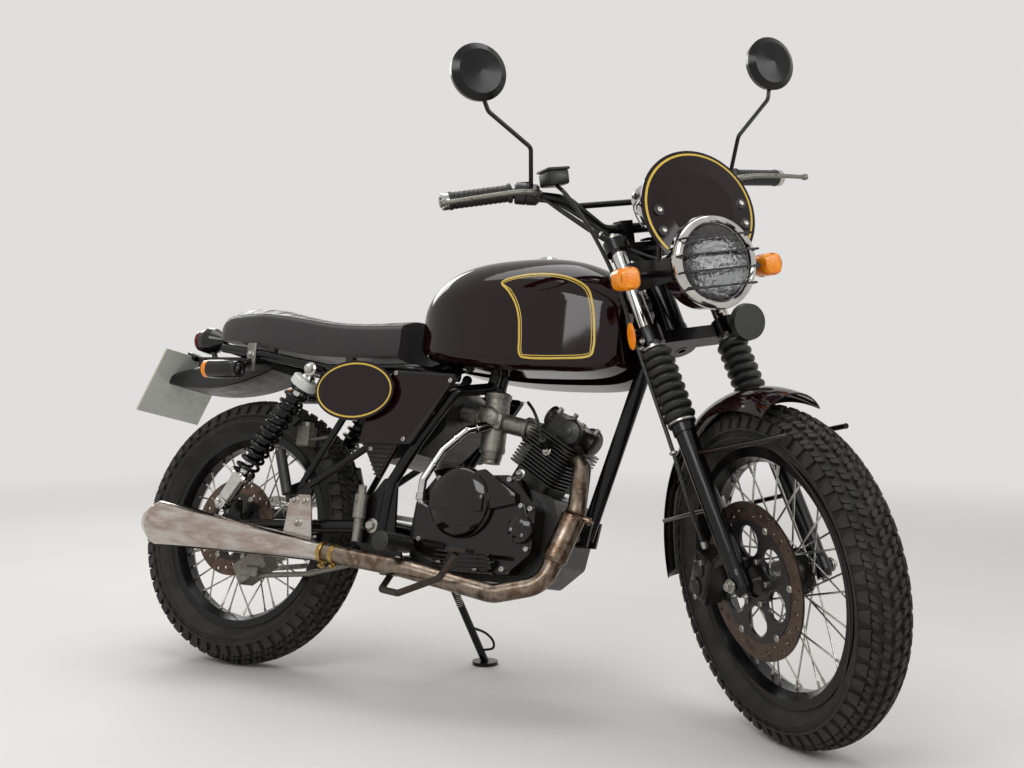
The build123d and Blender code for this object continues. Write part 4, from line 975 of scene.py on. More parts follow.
LAMP_CENTRE = Vector((1200, 0, 912))
LAMP_DIR = Vector((1, 0, 0.06)).normalized()
# height from the middle and length of each bar
LAMP_BARS = [(-48, 150), (-16, 172), (16, 172), (48, 150)]


def build_headlamp():
    """Silvered bowl with its bulb, pressed glass, chrome rim and four dark bars."""
    bowl = Form()
    bowl.turned(LAMP_CENTRE, LAMP_DIR, [
        (1.5, 77), (1.5, 74), (-14, 62), (-28, 44), (-36, 24), (-38, 12), (-40, 12), (-39, 25), (-30, 46),
        (-16, 64), (-2, 77)], 64, closed=True)
    bowl.turned(LAMP_CENTRE, LAMP_DIR, [(-38, 9), (-16, 9), (-12, 12), (-8, 12), (-7, 9)], 24)
    bowl.done("lamp_bowl", [silvered_bowl], "steering", "chrome", STEERED)
    glass = Form()
    glass.turned(LAMP_CENTRE, LAMP_DIR, [
        (4, 77), (10, 76), (16, 66), (20, 48), (22.5, 26), (23.4, 8), (23.5, 0.1)], 64)
    glass.done("lamp_glass", [pressed_glass], "steering", "lens_glass", STEERED, ["headlamp_lens"])
    rim = Form()
    rim.turned(LAMP_CENTRE, LAMP_DIR, [
        (-1, 80), (-2, 88), (0, 90.5), (7, 91.5), (13, 90), (18, 85), (20, 79), (17, 76), (12, 76.5)],
        72, closed=True)
    rim.bolt(LAMP_CENTRE + LAMP_DIR * 9 + Vector((0, 0, -91)), (0, 0, -1), 7, 5, False)
    rim.done("lamp_rim", [chrome_plate], "steering", "chrome", STEERED, ["headlamp_rim"])
    bars = Form()
    for rise, wide in LAMP_BARS:
        middle = LAMP_CENTRE + LAMP_DIR * 31 + Vector((0, 0, rise))
        back = LAMP_CENTRE + LAMP_DIR * 8 + Vector((0, 0, rise))
        half = wide / 2
        bars.tube([
            back + LEFT * -half, middle - LAMP_DIR * 6 - LEFT * half, middle - LEFT * (half - 8), middle,
            middle + LEFT * (half - 8), middle - LAMP_DIR * 6 + LEFT * half, back + LEFT * half,
        ], 2.1, 10, 5)
    bars.done("lamp_bars", [baked_enamel], "steering", "frame_black", STEERED)


def rounded_square(turn, reach, power):
    """A point of a squarish ring across the machine."""
    c, s = math.cos(turn), math.sin(turn)
    scale = reach / (abs(c) ** power + abs(s) ** power) ** (1 / power)
    return Vector((0, c * scale, s * scale))


INDICATOR_CENTRE = (1146, 162, 900)
REAR_INDICATOR_OUT = 158
REAR_INDICATOR_HEIGHT = 668
REFLECTOR_CENTRE = (1080, 126, 790)
REFLECTOR_HALVES = (13, 27)


def build_indicators():
    """Amber lenses in front of black bodies, oval side reflectors and rear indicator rings."""
    lens, body = Form(), Form()
    for side in (-1, 1):
        centre = Vector((INDICATOR_CENTRE[0], side * INDICATOR_CENTRE[1], INDICATOR_CENTRE[2]))
        rows = []
        for along, reach in (
            (-22, 19.5), (-20, 21.2), (0, 22.6), (14, 22.6), (19, 21), (22.5, 17), (23.5, 8),
        ):
            rows.append([centre + Vector((along, 0, 0)) + rounded_square(turn, reach, 3.0)
                         for turn in (2 * math.pi * n / 48 for n in range(48))])
        lens.skin(rows)
        body.turned(centre, (-1, 0, 0), [(20.5, 21.5), (21, 23), (25, 22.5), (30, 15), (32, 0.1)], 40)
        body.tube([(1132, side * 90, 905), (1140, side * 120, 903), (1144, side * 146, 901)],
                  [6.5, 6, 9], 12, 5)
    lens.done("front_amber", [amber_lens], "steering", "lamp_black", STEERED)
    body.done("front_indicator_bodies", [bright_plastic], "steering", "lamp_black", STEERED)
    rear, shells = Form(), Form()
    for side in (-1, 1):
        y = side * REAR_INDICATOR_OUT
        rear.turned((-64, y, REAR_INDICATOR_HEIGHT), (-1, 0, 0), [
            (0, 20.6), (8, 20.8), (14, 20), (18, 15), (19.5, 6), (19.6, 0.1)], 36)
        shells.turned((30, y, REAR_INDICATOR_HEIGHT), (-1, 0, 0), [
            (0, 0.1), (1, 8), (6, 15), (18, 20.5), (60, 21.6), (94, 21.6), (95, 20.6)], 36)
        shells.tube([(10, side * 100, 700), (12, side * 128, 686), (14, side * 146, 674)], [9, 8, 9], 12, 5)
    rear.done("rear_amber", [amber_lens], "chassis", "lamp_black")
    shells.done("rear_indicator_bodies", [bright_plastic], "chassis", "lamp_black")
    reflector = Form()
    for side in (-1, 1):
        rows = []
        for depth, scale in ((0, 1.0), (3, 1.0), (4.5, 0.92), (5, 0.6)):
            along, up = [half * scale for half in REFLECTOR_HALVES]
            x, y, z = REFLECTOR_CENTRE
            rows.append([Vector((x + along * math.cos(t), side * (y + depth), z + up * math.sin(t)))
                         for t in (2 * math.pi * n / 32 for n in range(32))])
        reflector.skin(rows)
    reflector.done("side_reflectors", [amber_lens], "steering", "lamp_black", STEERED)
    bracket = Form()
    for side in (-1, 1):
        bracket.tube([(1072, side * 104, 792), (1078, side * 118, 790), (1080, side * 127, 790)], 3, 8, 4)
        bracket.bolt((1096, side * 113, 778), (0, side, 0), 9, 6)
        bracket.bolt((1090, side * 113, 764), (0, side, 0), 9, 6)
    bracket.done("reflector_stems", [zinc_bolt], "steering", "chrome", STEERED)


SCREEN_CENTRE = Vector((1170, 0, 1016))
SCREEN_DIR = Vector((1, 0, 0.25)).normalized()
SCREEN_STEPS = 120
SCREEN_BOLTS = [(92, 1022), (92, 982), (-92, 1022), (-92, 982)]


def build_screen():
    """Gold edge line and the four rubber-mounted bolts of the small screen."""
    line = Form()
    centre, aim = SCREEN_CENTRE, SCREEN_DIR
    _, side, up = facing(aim)
    tree = surface_tree("fly_screen")
    rows = []
    for n in range(SCREEN_STEPS):
        t = 2 * math.pi * n / SCREEN_STEPS
        spoke = side * math.cos(t) + up * math.sin(t)
        row = []
        for radius, lift in ((113.0, 0.3), (115.2, 0.7), (117.4, 0.3)):
            point = centre + spoke * radius + aim * 60
            hit = laid_on(tree, point, -aim, STEERED, lift)
            row.append(hit if (hit - point).length > 1 else None)
        rows.append(row)
    for n in range(SCREEN_STEPS):
        one, two = rows[n], rows[(n + 1) % SCREEN_STEPS]
        if None in one or None in two:
            continue
        line.skin([one, two], around=False, caps=False)
    line.done("screen_line", [coach_line], "steering", "gloss_black", STEERED)
    bolts = Form()
    for y, z in SCREEN_BOLTS:
        place = laid_on(tree, Vector((1240, y, z)), (-1, 0, 0), STEERED, 0.2)
        bolts.turned(place, aim, [(0, 11), (2, 11), (3, 9.5), (3, 5)], 26)
        bolts.paint = 1
        bolts.turned(place, aim, [(1, 5.2), (5, 5.2), (7, 3.6), (7.4, 1)], 20)
        bolts.paint = 0
    bolts.done("screen_bolts", [soft_rubber, zinc_bolt], "steering", "gloss_black", STEERED)


SPEEDOMETER_CENTRE = Vector((1012, 0, 1052))
SPEEDOMETER_DIR = Vector((-0.5, 0, 0.86)).normalized()
DIAL_MARKS = 25
DIAL_SWEEP = 260


def build_speedometer():
    """Chrome cased instrument with a wire cage, its dial, needle and number-free marks."""
    centre, aim = SPEEDOMETER_CENTRE, SPEEDOMETER_DIR
    _, side, up = facing(aim)
    case = Form()
    case.turned(centre, -aim, [
        (-30, 38), (-30, 42), (-26, 43), (-22, 41), (0, 41), (34, 39), (44, 30), (46, 8)], 48)
    for n in range(4):
        angle = math.pi / 4 + n * math.pi / 2
        spoke = side * math.cos(angle) + up * math.sin(angle)
        case.tube([centre + aim * 31 + spoke * 42, centre + spoke * 46, centre - aim * 34 + spoke * 43],
                  1.8, 8, 5)
    case.turned(centre, aim, [(4, 45), (6, 46.6), (8, 45), (6, 43.6)], 48, closed=True)
    case.done("speedometer_case", [chrome_plate], "steering", "chrome", STEERED, ["speedometer"])
    dial = Form()
    dial.turned(centre, aim, [(22, 0.1), (22, 37), (23, 37.5), (23, 0.1)], 40)
    dial.paint = 1
    for n in range(DIAL_MARKS):
        angle = math.radians(-DIAL_SWEEP / 2 + n * DIAL_SWEEP / (DIAL_MARKS - 1))
        spoke = up * math.cos(angle) + side * math.sin(angle)
        low = 28 if n % 2 else 24
        dial.rod(centre + aim * 23.6 + spoke * low, centre + aim * 23.6 + spoke * 33,
                 0.7 if n % 2 else 1.0, 6, 0.2)
    dial.rod(centre + aim * 24.5 - side * 4, centre + aim * 24.5 + side * 26, 0.9, 6, 0.2)
    dial.done("speedometer_dial", [dial_face, dial_print], "steering", "chrome", STEERED)
    mount = Form()
    mount.rod((1022, 0, 1020), (986, 0, 974), 8)
    mount.block((986, 0, 984), (34, 44, 5))
    mount.done("speedometer_mount", [baked_enamel], "steering", "frame_black", STEERED)


# Handlebar controls


GRIP_FROM = Vector((902, 270, 1108))
GRIP_TO = Vector((878, 392, 1103.8))
GRIP_RIBS = 11
FLUID_BOX = Vector((958, -196, 1124))


def build_controls():
    """Grips with bar ends, switch boxes, levers, perches, the fluid box and the mirror glass."""
    grips, ends, boxes, levers, glass = Form(), Form(), Form(), Form(), Form()
    for side in (-1, 1):
        def at(x, y, z):
            return Vector((x, side * y, z))
        start, end = at(*GRIP_FROM), at(*GRIP_TO)
        aim = (end - start).normalized()
        profile = [(0, 12), (0, 20), (4, 20.5), (7, 18)]
        for n in range(GRIP_RIBS):
            base = 10 + n * 10
            profile += [(base, 16.4), (base + 1.5, 17.6), (base + 7.5, 17.6), (base + 9, 16.4)]
        profile += [(122, 18), (126, 19), (129, 18.5), (130, 12)]
        grips.turned(start, aim, profile, 36)
        ends.turned(end + aim * 4, aim, [
            (0, 11), (1, 17), (3, 18), (14, 18), (17, 15.5), (18, 8), (18, 3)], 32)
        boxes.turned(at(906, 262, 1107), at(928, 216, 1096) - at(906, 262, 1107), [
            (0, 20), (2, 22.5), (22, 22.5), (24, 21), (26, 22.5), (44, 21.5), (49, 17)], 36)
        boxes.block(at(902, 240, 1122), (26, 30, 12), None, 3)
        boxes.block(at(890, 246, 1106), (8, 14, 8), None, 2)
        boxes.turned(at(930, 226, 1096), at(950, 236, 1097) - at(930, 226, 1096),
                     [(-8, 14), (2, 14), (10, 10), (20, 9)], 20)
        levers.tube([at(948, 236, 1098), at(962, 252, 1100), at(965, 290, 1101), at(958, 350, 1098),
                     at(946, 405, 1095), at(938, 428, 1094)], [6.5, 6.0, 5.4, 5.0, 4.6, 4.8], 14, 6)
        levers.turned(at(937, 433, 1094), at(0, 1, 0), [(-7, 3), (-5, 6.3), (0, 7.4), (5, 6.3), (7, 2)], 22)
        levers.bolt(at(950, 238, 1105), (0, 0, 1), 9, 6)
        glass.turned(at(965.6, 343, 1337), Vector((-1, 0, -0.05)), [(-4, 53), (-0.4, 53), (0, 52)], 48)
    grips.done("bar_grips", [soft_rubber], "steering", "rubber", STEERED, ["grips"])
    ends.done("bar_ends", [chrome_plate], "steering", "chrome", STEERED)
    boxes.block(FLUID_BOX, (56, 44, 30), None, 5)
    boxes.block(FLUID_BOX + Vector((0, 0, 17)), (60, 48, 6), None, 2)
    boxes.done("switch_boxes", [moulded_plastic], "steering", "black_plastic", STEERED, ["hand_controls"])
    levers.done("hand_levers", [cast_alloy], "steering", "chrome", STEERED)
    glass.done("mirror_glasses", [mirror_glass], "steering", "frame_black", STEERED)
    sight = Form()
    sight.turned(FLUID_BOX + Vector((-26, 0, 2)), (-1, 0, 0), [(0, 8), (3, 8), (4, 6)], 22)
    for dx in (-18, 18):
        sight.cap_screw(FLUID_BOX + Vector((dx, 0, 19)), (0, 0, 1), 3.2, 3)
    sight.done("fluid_window", [zinc_bolt], "steering", "chrome", STEERED)


def build_cables():
    """Control cables and the front brake hose, all on what turns with the handlebar."""
    form = Form()
    routes = [
        # radius, points from the controls to the headlamp and the fork
        (3.6, [(936, -222, 1092), (962, -190, 1060), (985, -120, 1000), (1010, -60, 960), (1060, -20, 930),
               (1100, -6, 912)]),
        (3.6, [(936, -214, 1088), (968, -180, 1046), (992, -110, 985), (1020, -50, 940), (1070, -14, 900),
               (1100, -4, 890)]),
        (4.0, [(930, -206, 1092), (950, -170, 1062), (972, -110, 1010), (996, -60, 960), (1040, -30, 915),
               (1094, -14, 905)]),
        (3.6, [(936, 222, 1092), (962, 190, 1060), (985, 120, 1000), (1010, 60, 960), (1060, 20, 930),
               (1100, 6, 912)]),
        (3.6, [(936, 214, 1088), (968, 176, 1046), (992, 104, 985), (1020, 46, 940), (1070, 12, 895),
               (1098, 6, 884)]),
        (4.2, [(968, -196, 1108), (1010, -196, 1080), (1030, -160, 1000), (1052, -132, 900),
               (1074, -122, 800), (1120, -118, 680), (1170, -116, 560), (1206, -112, 450), (1212, -96, 380)]),
    ]
    for radius, points in routes:
        form.tube(points, radius, 10, 8)
    form.done("control_cables", [cable_sheath], "steering", "black_plastic", STEERED)
    ties = Form()
    for point, aim in (((1074, -122, 800), (-0.2, 0.1, 1)), ((1170, -116, 560), (-0.4, 0, 1)),
                       ((985, -120, 1000), (1, 1, -1))):
        ties.turned(point, aim, [(-3, 6.5), (-2, 8), (2, 8), (3, 6.5)], 18)
    ties.done("cable_ties", [zinc_bolt], "steering", "chrome", STEERED)


# Engine


CYLINDER_BASE = Vector((744, 0, 440))
BARREL_DIR = Vector((math.sin(math.radians(30)), 0, math.cos(math.radians(30))))
BARREL_FRONT = Vector((math.cos(math.radians(30)), 0, -math.sin(math.radians(30))))
SKIRT_HEIGHT = 38
FINS = 13
FIN_PITCH = 7.5
ROCKER_START = SKIRT_HEIGHT + FINS * FIN_PITCH
COVER_FACE = -124.0
LEFT_COVER_FACE = 110.0
COVER_CENTRE = Vector((650, COVER_FACE, 400))
SMALL_COVER_CENTRE = Vector((796, COVER_FACE, 354))
LEFT_COVER_CENTRE = Vector((720, LEFT_COVER_FACE, 362))
CARBURETTOR_CENTRE = Vector((640, -14, 589))


def build_engine_trim():
    """Forms and screws of the covers, breather pipe, carburettor, rocker caps and spark plug lead."""
    screws, covers, pipe, alloy = Form(), Form(), Form(), Form()
    for x, z in ((556, 318), (612, 274), (700, 268), (762, 272), (812, 316), (812, 396), (757, 452),
                 (690, 452), (590, 446), (548, 396)):
        screws.cap_screw((x, COVER_FACE, z), (0, -1, 0), 5.5, 7)
    for x, z in ((500, 300), (560, 285), (640, 272), (740, 272), (812, 318), (812, 390), (764, 440),
                 (610, 430)):
        screws.cap_screw((x, LEFT_COVER_FACE, z), (0, 1, 0), 5.5, 7)
    covers.turned(COVER_CENTRE, (0, -1, 0), [
        (0, 72.5), (3, 74), (8, 74), (11, 71), (17, 69), (22, 62), (25.5, 45), (26.5, 20), (26.6, 0.1)], 80)
    covers.block(COVER_CENTRE + Vector((0, -15, 0)), (126, 27, 38), None, 5)
    visor = [(665, 462), (700, 470), (778, 424), (782, 404), (718, 388)]
    covers.plate(visor, 13, side_place(COVER_FACE), 3.0)
    covers.turned(SMALL_COVER_CENTRE, (0, -1, 0),
                  [(0, 29), (6, 29), (11, 27), (15, 20), (17, 9), (17, 0.1)], 48)
    covers.plate([(784, 376), (789, 406), (799, 406), (812, 374)], 10, side_place(-123), 2.0)
    screws.cap_screw((794, -133, 400), (0, -1, 0), 5.0, 5)
    for n in range(3):
        turn = 1.2 + n * 2 * math.pi / 3
        around = Vector((16 * math.cos(turn), -14, 16 * math.sin(turn)))
        screws.cap_screw(SMALL_COVER_CENTRE + around, (0, -1, 0), 3.2, 4)
    covers.turned(LEFT_COVER_CENTRE, (0, 1, 0),
                  [(0, 84), (12, 84), (20, 80), (27, 68), (29, 40), (30, 0.1)], 72)
    for n in range(5):
        covers.block((668, -127, 262 + 9 * n), (152 - 6 * n, 14, 4.6), None, 1.4)
    covers.done("engine_cover_forms", [polished_enamel], "chassis", "engine_black")
    screws.done("engine_screws", [zinc_bolt], "chassis", "engine_alloy")
    route = filleted([(652, -30, 580), (617, -90, 556), (578, -112, 508), (552, -132, 441), (552, -132, 396),
                      (566, -112, 388)], [18, 18, 18, 9])
    pipe.tube(route, 8.5, 18, 0)
    for low, high in (((552, -132, 412), (552, -132, 398)), ((640, -51, 572), (628, -71, 563))):
        pipe.rod(low, high, 11.0, 20)
    for point in ((600, -99, 536), (566, -121, 476)):
        pipe.turned(point, (40, 20, 48), [(-3, 9.2), (-2, 10.4), (2, 10.4), (3, 9.2)], 22)
    pipe.done("breather_pipe", [chrome_plate], "chassis", "engine_alloy")
    carb = CARBURETTOR_CENTRE
    slope = Vector((-206, 0, 38)).normalized()
    alloy.turned(carb + Vector((0, -26, 4)), (0, -1, 0), [(0, 22), (7, 23), (10, 20), (13, 11), (14, 3)], 36)
    alloy.turned((640, -14, 634), (0, 0, 1), [(0, 27.5), (5, 30), (12, 30), (16, 24), (20, 10), (26, 6)], 32)
    alloy.turned((640, -14, 524), (0, 0, -1), [(-8, 28), (2, 28), (4, 24), (20, 21.5), (28, 14), (29, 5)], 32)
    alloy.block(carb, (62, 60, 36), slope.to_track_quat("X", "Z").to_matrix(), 5)
    for dx in (-22, 22):
        alloy.cap_screw(carb + Vector((dx, -30, -8)), (0, -1, 0), 4, 5)
    for at, radius in ((86, 26), (-44, 23)):
        alloy.turned(carb - slope * at, slope, [(-4, radius), (4, radius), (6, radius - 3)], 32)
    alloy.done("carburettor_forms", [cast_alloy], "chassis", "engine_alloy")
    head = Form()
    top = CYLINDER_BASE + BARREL_DIR * (ROCKER_START + 20)
    for side in (-1, 1):
        cap = top + BARREL_FRONT * 22 + LEFT * side * 46
        head.turned(cap, LEFT * side, [(0, 27), (6, 28), (11, 25), (14, 16), (15, 3)], 36)
        head.turned(cap + LEFT * side * 13, LEFT * side, [(0, 11), (4, 11), (5, 8)], 6)
    for along in (-1, 1):
        hat = top + BARREL_DIR * 1.5 + BARREL_FRONT * along * 58
        head.turned(hat, BARREL_FRONT * along, [(0, 23), (6, 23), (9, 18), (9.5, 4)], 36)
    for n in range(4):
        ridge = CYLINDER_BASE + BARREL_DIR * (ROCKER_START + 5 + n * 9)
        head.block(ridge, (84, 101, 3.2), barrel_turn(), 1.2)
    head.done("rocker_caps", [engine_enamel], "chassis", "engine_black")
    nuts = Form()
    for sx in (-1, 1):
        for side in (-1, 1):
            lid = CYLINDER_BASE + BARREL_DIR * (ROCKER_START + 40)
            nuts.bolt(lid + BARREL_FRONT * sx * 32 + LEFT * side * 34, BARREL_DIR, 12, 10)
    nuts.bolt(CYLINDER_BASE + BARREL_DIR * 100 + BARREL_FRONT * 10 - LEFT * 69, -LEFT, 12, 8)
    nuts.bolt((757, -84, 470), -LEFT, 12, 12)
    nuts.done("head_nuts", [zinc_bolt], "chassis", "engine_alloy")
    plug = Form()
    spot = CYLINDER_BASE + BARREL_DIR * 104 + BARREL_FRONT * 6 - LEFT * 66
    plug.turned(spot, (0.1, -1, 0.5), [(0, 9), (10, 9), (12, 11), (34, 9), (36, 6)], 20)
    plug.tube([spot + Vector((3, -32, 16)), spot + Vector((0, -44, 40)), spot + Vector((-24, -30, 72)),
               spot + Vector((-60, 6, 96))], 3.4, 10, 6)
    plug.done("spark_lead", [cable_sheath], "chassis", "black_plastic")


HEADER_TOP, HEADER_LOW = Vector((889, -76, 404)), Vector((850, -112, 250))
SILENCER_FRONT, SILENCER_REAR = Vector((352, -170, 269)), Vector((-160, -170, 303))


def build_exhaust_trim():
    """Weld rings and side stub of the header, band clamps and the hanger's bolts."""
    form, bands = Form(), Form()
    high = HEADER_TOP
    aim = (HEADER_LOW - high).normalized()
    for distance, radius in ((6.0, 19.4), (18.0, 25.2), (106.0, 25.2), (118.0, 19.6)):
        form.turned(high + aim * distance, aim, [(-2.2, radius - 0.6), (-1, radius + 1.0), (1, radius + 1.0),
                                                 (2.2, radius - 0.6)], 36)
    stub = high + aim * 10
    form.turned(stub + Vector((24, 4, -8)), (34, 6, -12),
                [(0, 6.5), (0, 8.5), (9, 8.5), (9, 4), (16, 3.6)], 16)
    form.done("header_welds", [heat_tinted_pipe], "chassis", "header_steel")
    front = SILENCER_FRONT
    run = (SILENCER_REAR - front).normalized()
    for at, radius in ((4.0, 22.0), (-26.0, 19.4)):
        bands.turned(front + run * at, run,
                     [(-5, radius), (-4, radius + 1.4), (4, radius + 1.4), (5, radius)], 36)
        bands.block(front + run * at + Vector((0, 0, -radius - 5)), (10, 8, 12), None, 1.5)
        bands.bolt(front + run * at + Vector((0, -5, -radius - 6)), (0, -1, 0), 8, 6, False)
    bands.done("band_clamps", [brass_film], "chassis", "header_steel")
    bolts = Form()
    for x, z in ((222, 378), (250, 378), (238, 330)):
        bolts.bolt((x, -133.2, z), (0, -1, 0), 12, 8)
    bolts.done("hanger_bolts", [zinc_bolt], "chassis", "chrome")


# Frame, tail, stand and small parts


CHAIN_PITCH = 12.7
REAR_TEETH = 42
FRONT_TEETH = 15
CHAIN_LINE = 73
FRONT_WHEEL_CENTRE = (516, 331)
LINK_HALF_HEIGHT = 5.6
LINK_THICKNESS = 1.6


def build_chain(links):
    """Outer and inner link plates with their pins along the loop."""
    form = Form()
    big, small = [CHAIN_PITCH / (2 * math.sin(math.pi / teeth)) for teeth in (REAR_TEETH, FRONT_TEETH)]
    front = Vector(FRONT_WHEEL_CENTRE)
    rear = Vector((0, REAR_RADIUS))
    span = (front - rear).length
    line = math.atan2(front.y - rear.y, front.x - rear.x)
    tilt = math.asin((big - small) / span)
    straight = span * math.cos(tilt)
    wrap_big, wrap_small = math.pi + 2 * tilt, math.pi - 2 * tilt
    total = 2 * straight + big * wrap_big + small * wrap_small

    def along(distance):
        distance %= total
        top = line + math.pi / 2 - tilt
        if distance < straight:
            start = rear + Vector((math.cos(top), math.sin(top))) * big
            return start + Vector((math.cos(line - tilt), math.sin(line - tilt))) * distance
        distance -= straight
        if distance < small * wrap_small:
            a = top - distance / small
            return front + Vector((math.cos(a), math.sin(a))) * small
        distance -= small * wrap_small
        bottom = line - math.pi / 2 + tilt
        if distance < straight:
            start = front + Vector((math.cos(bottom), math.sin(bottom))) * small
            return start - Vector((math.cos(line + tilt), math.sin(line + tilt))) * distance
        distance -= straight
        a = bottom - distance / big
        return rear + Vector((math.cos(a), math.sin(a))) * big

    pitch = total / links
    for n in range(links):
        one, two = along(n * pitch), along((n + 1) * pitch)
        run = (two - one).normalized()
        cross = Vector((-run.y, run.x))
        outline = []
        for centre, way in ((two, 1), (one, -1)):
            for k in range(5):
                a = math.pi / 2 - k * math.pi / 4
                outline.append(centre + (run * math.cos(a) + cross * math.sin(a)) * LINK_HALF_HEIGHT * way)
        depth = 6.6 if n % 2 else 4.6
        for side in (-1, 1):
            low = [Vector((p.x, CHAIN_LINE + side * depth, p.y)) for p in outline]
            high = [Vector((p.x, CHAIN_LINE + side * (depth - LINK_THICKNESS), p.y)) for p in outline]
            form.skin([low, high])
        form.rod((one.x, CHAIN_LINE - 7, one.y), (one.x, CHAIN_LINE + 7, one.y), 2.6, 8, 0.4)
    form.done("chain_links", [zinc_bolt], "chassis", "spokes", CHASSIS, ["chain"])


TAIL_LAMP_CENTRE = (-236, 0, 773)
PLATE_CENTRE = Vector((-302, 0, 652))
PLATE_LEAN = math.radians(24)
PLATE_HALVES = (106.4, 84)
PLATE_RIM = 2.2


def build_tail():
    """Tail lamp lens, the grey strap, the plate's edge and the little lamp over it."""
    lens = Form()
    lens.turned(TAIL_LAMP_CENTRE, (-1, 0, 0),
                [(18, 24), (20, 27), (26, 26), (30, 20), (31.5, 8), (31.6, 0.1)], 44)
    lens.done("tail_lens", [ruby_lens], "chassis", "lamp_black")
    bolts, strap, plate = Form(), Form(), Form()
    for side in (-1, 1):
        strap.block((14, side * 113, 708), (26, 5, 66), Matrix.Rotation(side * -0.06, 3, "X"), 2)
        bolts.bolt((14, side * 116, 712), (0, side, 0), 12, 7)
        bolts.turned((224, side * 150, 672), (0, side, 0), [(0, 11), (8, 11), (11, 8), (12, 3)], 24)
    strap.done("tail_straps", [cast_alloy], "chassis", "black_plastic")
    turn = Matrix.Rotation(PLATE_LEAN, 4, "Y")
    frame_place = Matrix.Translation(PLATE_CENTRE) @ turn
    for y, z in ((-60, 55), (60, 55)):
        bolts.turned(frame_place @ Vector((-1.6, y, z)), frame_place.to_3x3() @ Vector((-1, 0, 0)),
                     [(0, 6), (2, 6), (3, 4)], 18)
    bolts.done("tail_bolts", [zinc_bolt], "chassis", "chrome")
    wide, high = PLATE_HALVES
    for y, z, dy, dz in ((0, high, 213, PLATE_RIM), (0, -high, 213, PLATE_RIM),
                         (wide, 0, PLATE_RIM, 168), (-wide, 0, PLATE_RIM, 168)):
        plate.block(frame_place @ Vector((-1.2, y, z)), (2.6, dy, dz), turn.to_3x3(), 0.5)
    plate.done("plate_edge", [coach_line], "chassis", "plate_white")
    lamp = Form()
    lamp.block(frame_place @ Vector((-12, 0, 62)), (22, 62, 26), turn.to_3x3(), 7)
    lamp.block(frame_place @ Vector((-4, 0, 84)), (30, 40, 14), turn.to_3x3(), 4)
    lamp.done("plate_lamp", [bright_plastic], "chassis", "lamp_black")


STAND_HINGE = (462, 144, 262)
STAND_FOOT = (505, 291, 62)
SPRING_STEPS = 240


def build_small_parts():
    """Axle nuts, pivot bolts, foot rest studs, the gear pedal's pad, and the stand's wire loop and spring."""
    bolts, rubber, stand = Form(), Form(), Form()
    for side in (-1, 1):
        bolts.bolt((0, side * 120, 311), (0, side, 0), 20, 12)
        bolts.bolt((428, side * 121, 337), (0, side, 0), 20, 10)
        bolts.bolt((505, side * 121, 268), (0, side, 0), 13, 8)
        bolts.bolt((870, side * 30.5, 352), (0, side, 0), 13, 8)
        bolts.bolt((870, side * 26, 388), (0, side, 0), 12, 8)
        rubber.turned((538, side * 140, 302), (0, side, 0),
                      [(0, 13), (2, 17), (92, 17), (94, 20), (98, 20), (100, 14)], 28)
        for n in range(7):
            for turn in (-0.5, 0, 0.5):
                spot = Vector((538 + 16 * math.sin(turn), side * (150 + n * 12), 302 + 16 * math.cos(turn)))
                rubber.turned(spot, (math.sin(turn), 0, math.cos(turn)), [(0, 3.4), (3, 3.0), (3.6, 2.2)], 8)
    bolts.done("frame_bolts", [zinc_bolt], "chassis", "chrome")
    rubber.turned((700, 142, 262), (0, 1, 0), [(0, 10), (2, 12), (34, 12), (36, 10)], 24)
    rubber.done("foot_rubbers", [soft_rubber], "chassis", "rubber")
    hinge = Vector(STAND_HINGE)
    aim = (Vector(STAND_FOOT) - hinge).normalized()
    out = Vector((0.97, 0.24, 0))
    stand.tube([hinge + aim * 148 + out * 6, hinge + aim * 158 + out * 34, hinge + aim * 178 + out * 46,
                hinge + aim * 200 + out * 38, hinge + aim * 210 + out * 7], 3.0, 10, 6)
    stand.done("stand_prong", [baked_enamel], "side_stand", "frame_black")
    spring = Form()
    start, end = hinge + Vector((22, -12, 20)), hinge + aim * 92 + LEFT * -4
    run = (end - start)
    length = run.length
    run.normalize()
    _, u, v = facing(run)
    route = []
    for n in range(SPRING_STEPS + 1):
        spoke = (u * math.cos(n * 0.55) + v * math.sin(n * 0.55)) * 6.5
        route.append(start + run * (length * n / SPRING_STEPS) + spoke)
    spring.tube(route, 1.4, 6, 0)
    spring.done("stand_spring", [zinc_bolt], "side_stand", "frame_black")


CALIPER_CENTRE = Vector((1196, -92, 322))
CALIPER_LEAN = math.radians(26)


def build_brakes():
    """Front caliper body with its screws, and the end of the rear caliper's arm."""
    form, screws = Form(), Form()
    turn = Matrix.Rotation(CALIPER_LEAN, 3, "Y")
    centre = CALIPER_CENTRE
    form.block(centre + Vector((0, -6, 0)), (50, 22, 84), turn, 7)
    for rise in (-20, 20):
        spot = centre + turn @ Vector((0, -16, rise))
        form.turned(spot, (0, -1, 0), [(0, 17), (5, 17), (8, 14), (9, 6)], 30)
    for rise in (-38, 38):
        screws.cap_screw(centre + turn @ Vector((8, -17, rise)), (0, -1, 0), 5.5, 7)
    form.done("front_caliper_body", [engine_enamel], "steering", "frame_black", STEERED)
    screws.turned((1212, -96, 382), (0.2, -0.3, 1), [(-4, 6.5), (6, 6.5), (10, 5)], 18)
    screws.done("front_caliper_screws", [zinc_bolt], "steering", "chrome", STEERED)
    rear = Form()
    rear.turned((428, -88, 330), (0, -1, 0), [(-6, 12), (6, 12), (8, 9)], 24)
    rear.block((98, -98, 214), (40, 14, 24), None, 4)
    rear.done("rear_caliper_end", [cast_alloy], "chassis", "engine_alloy")


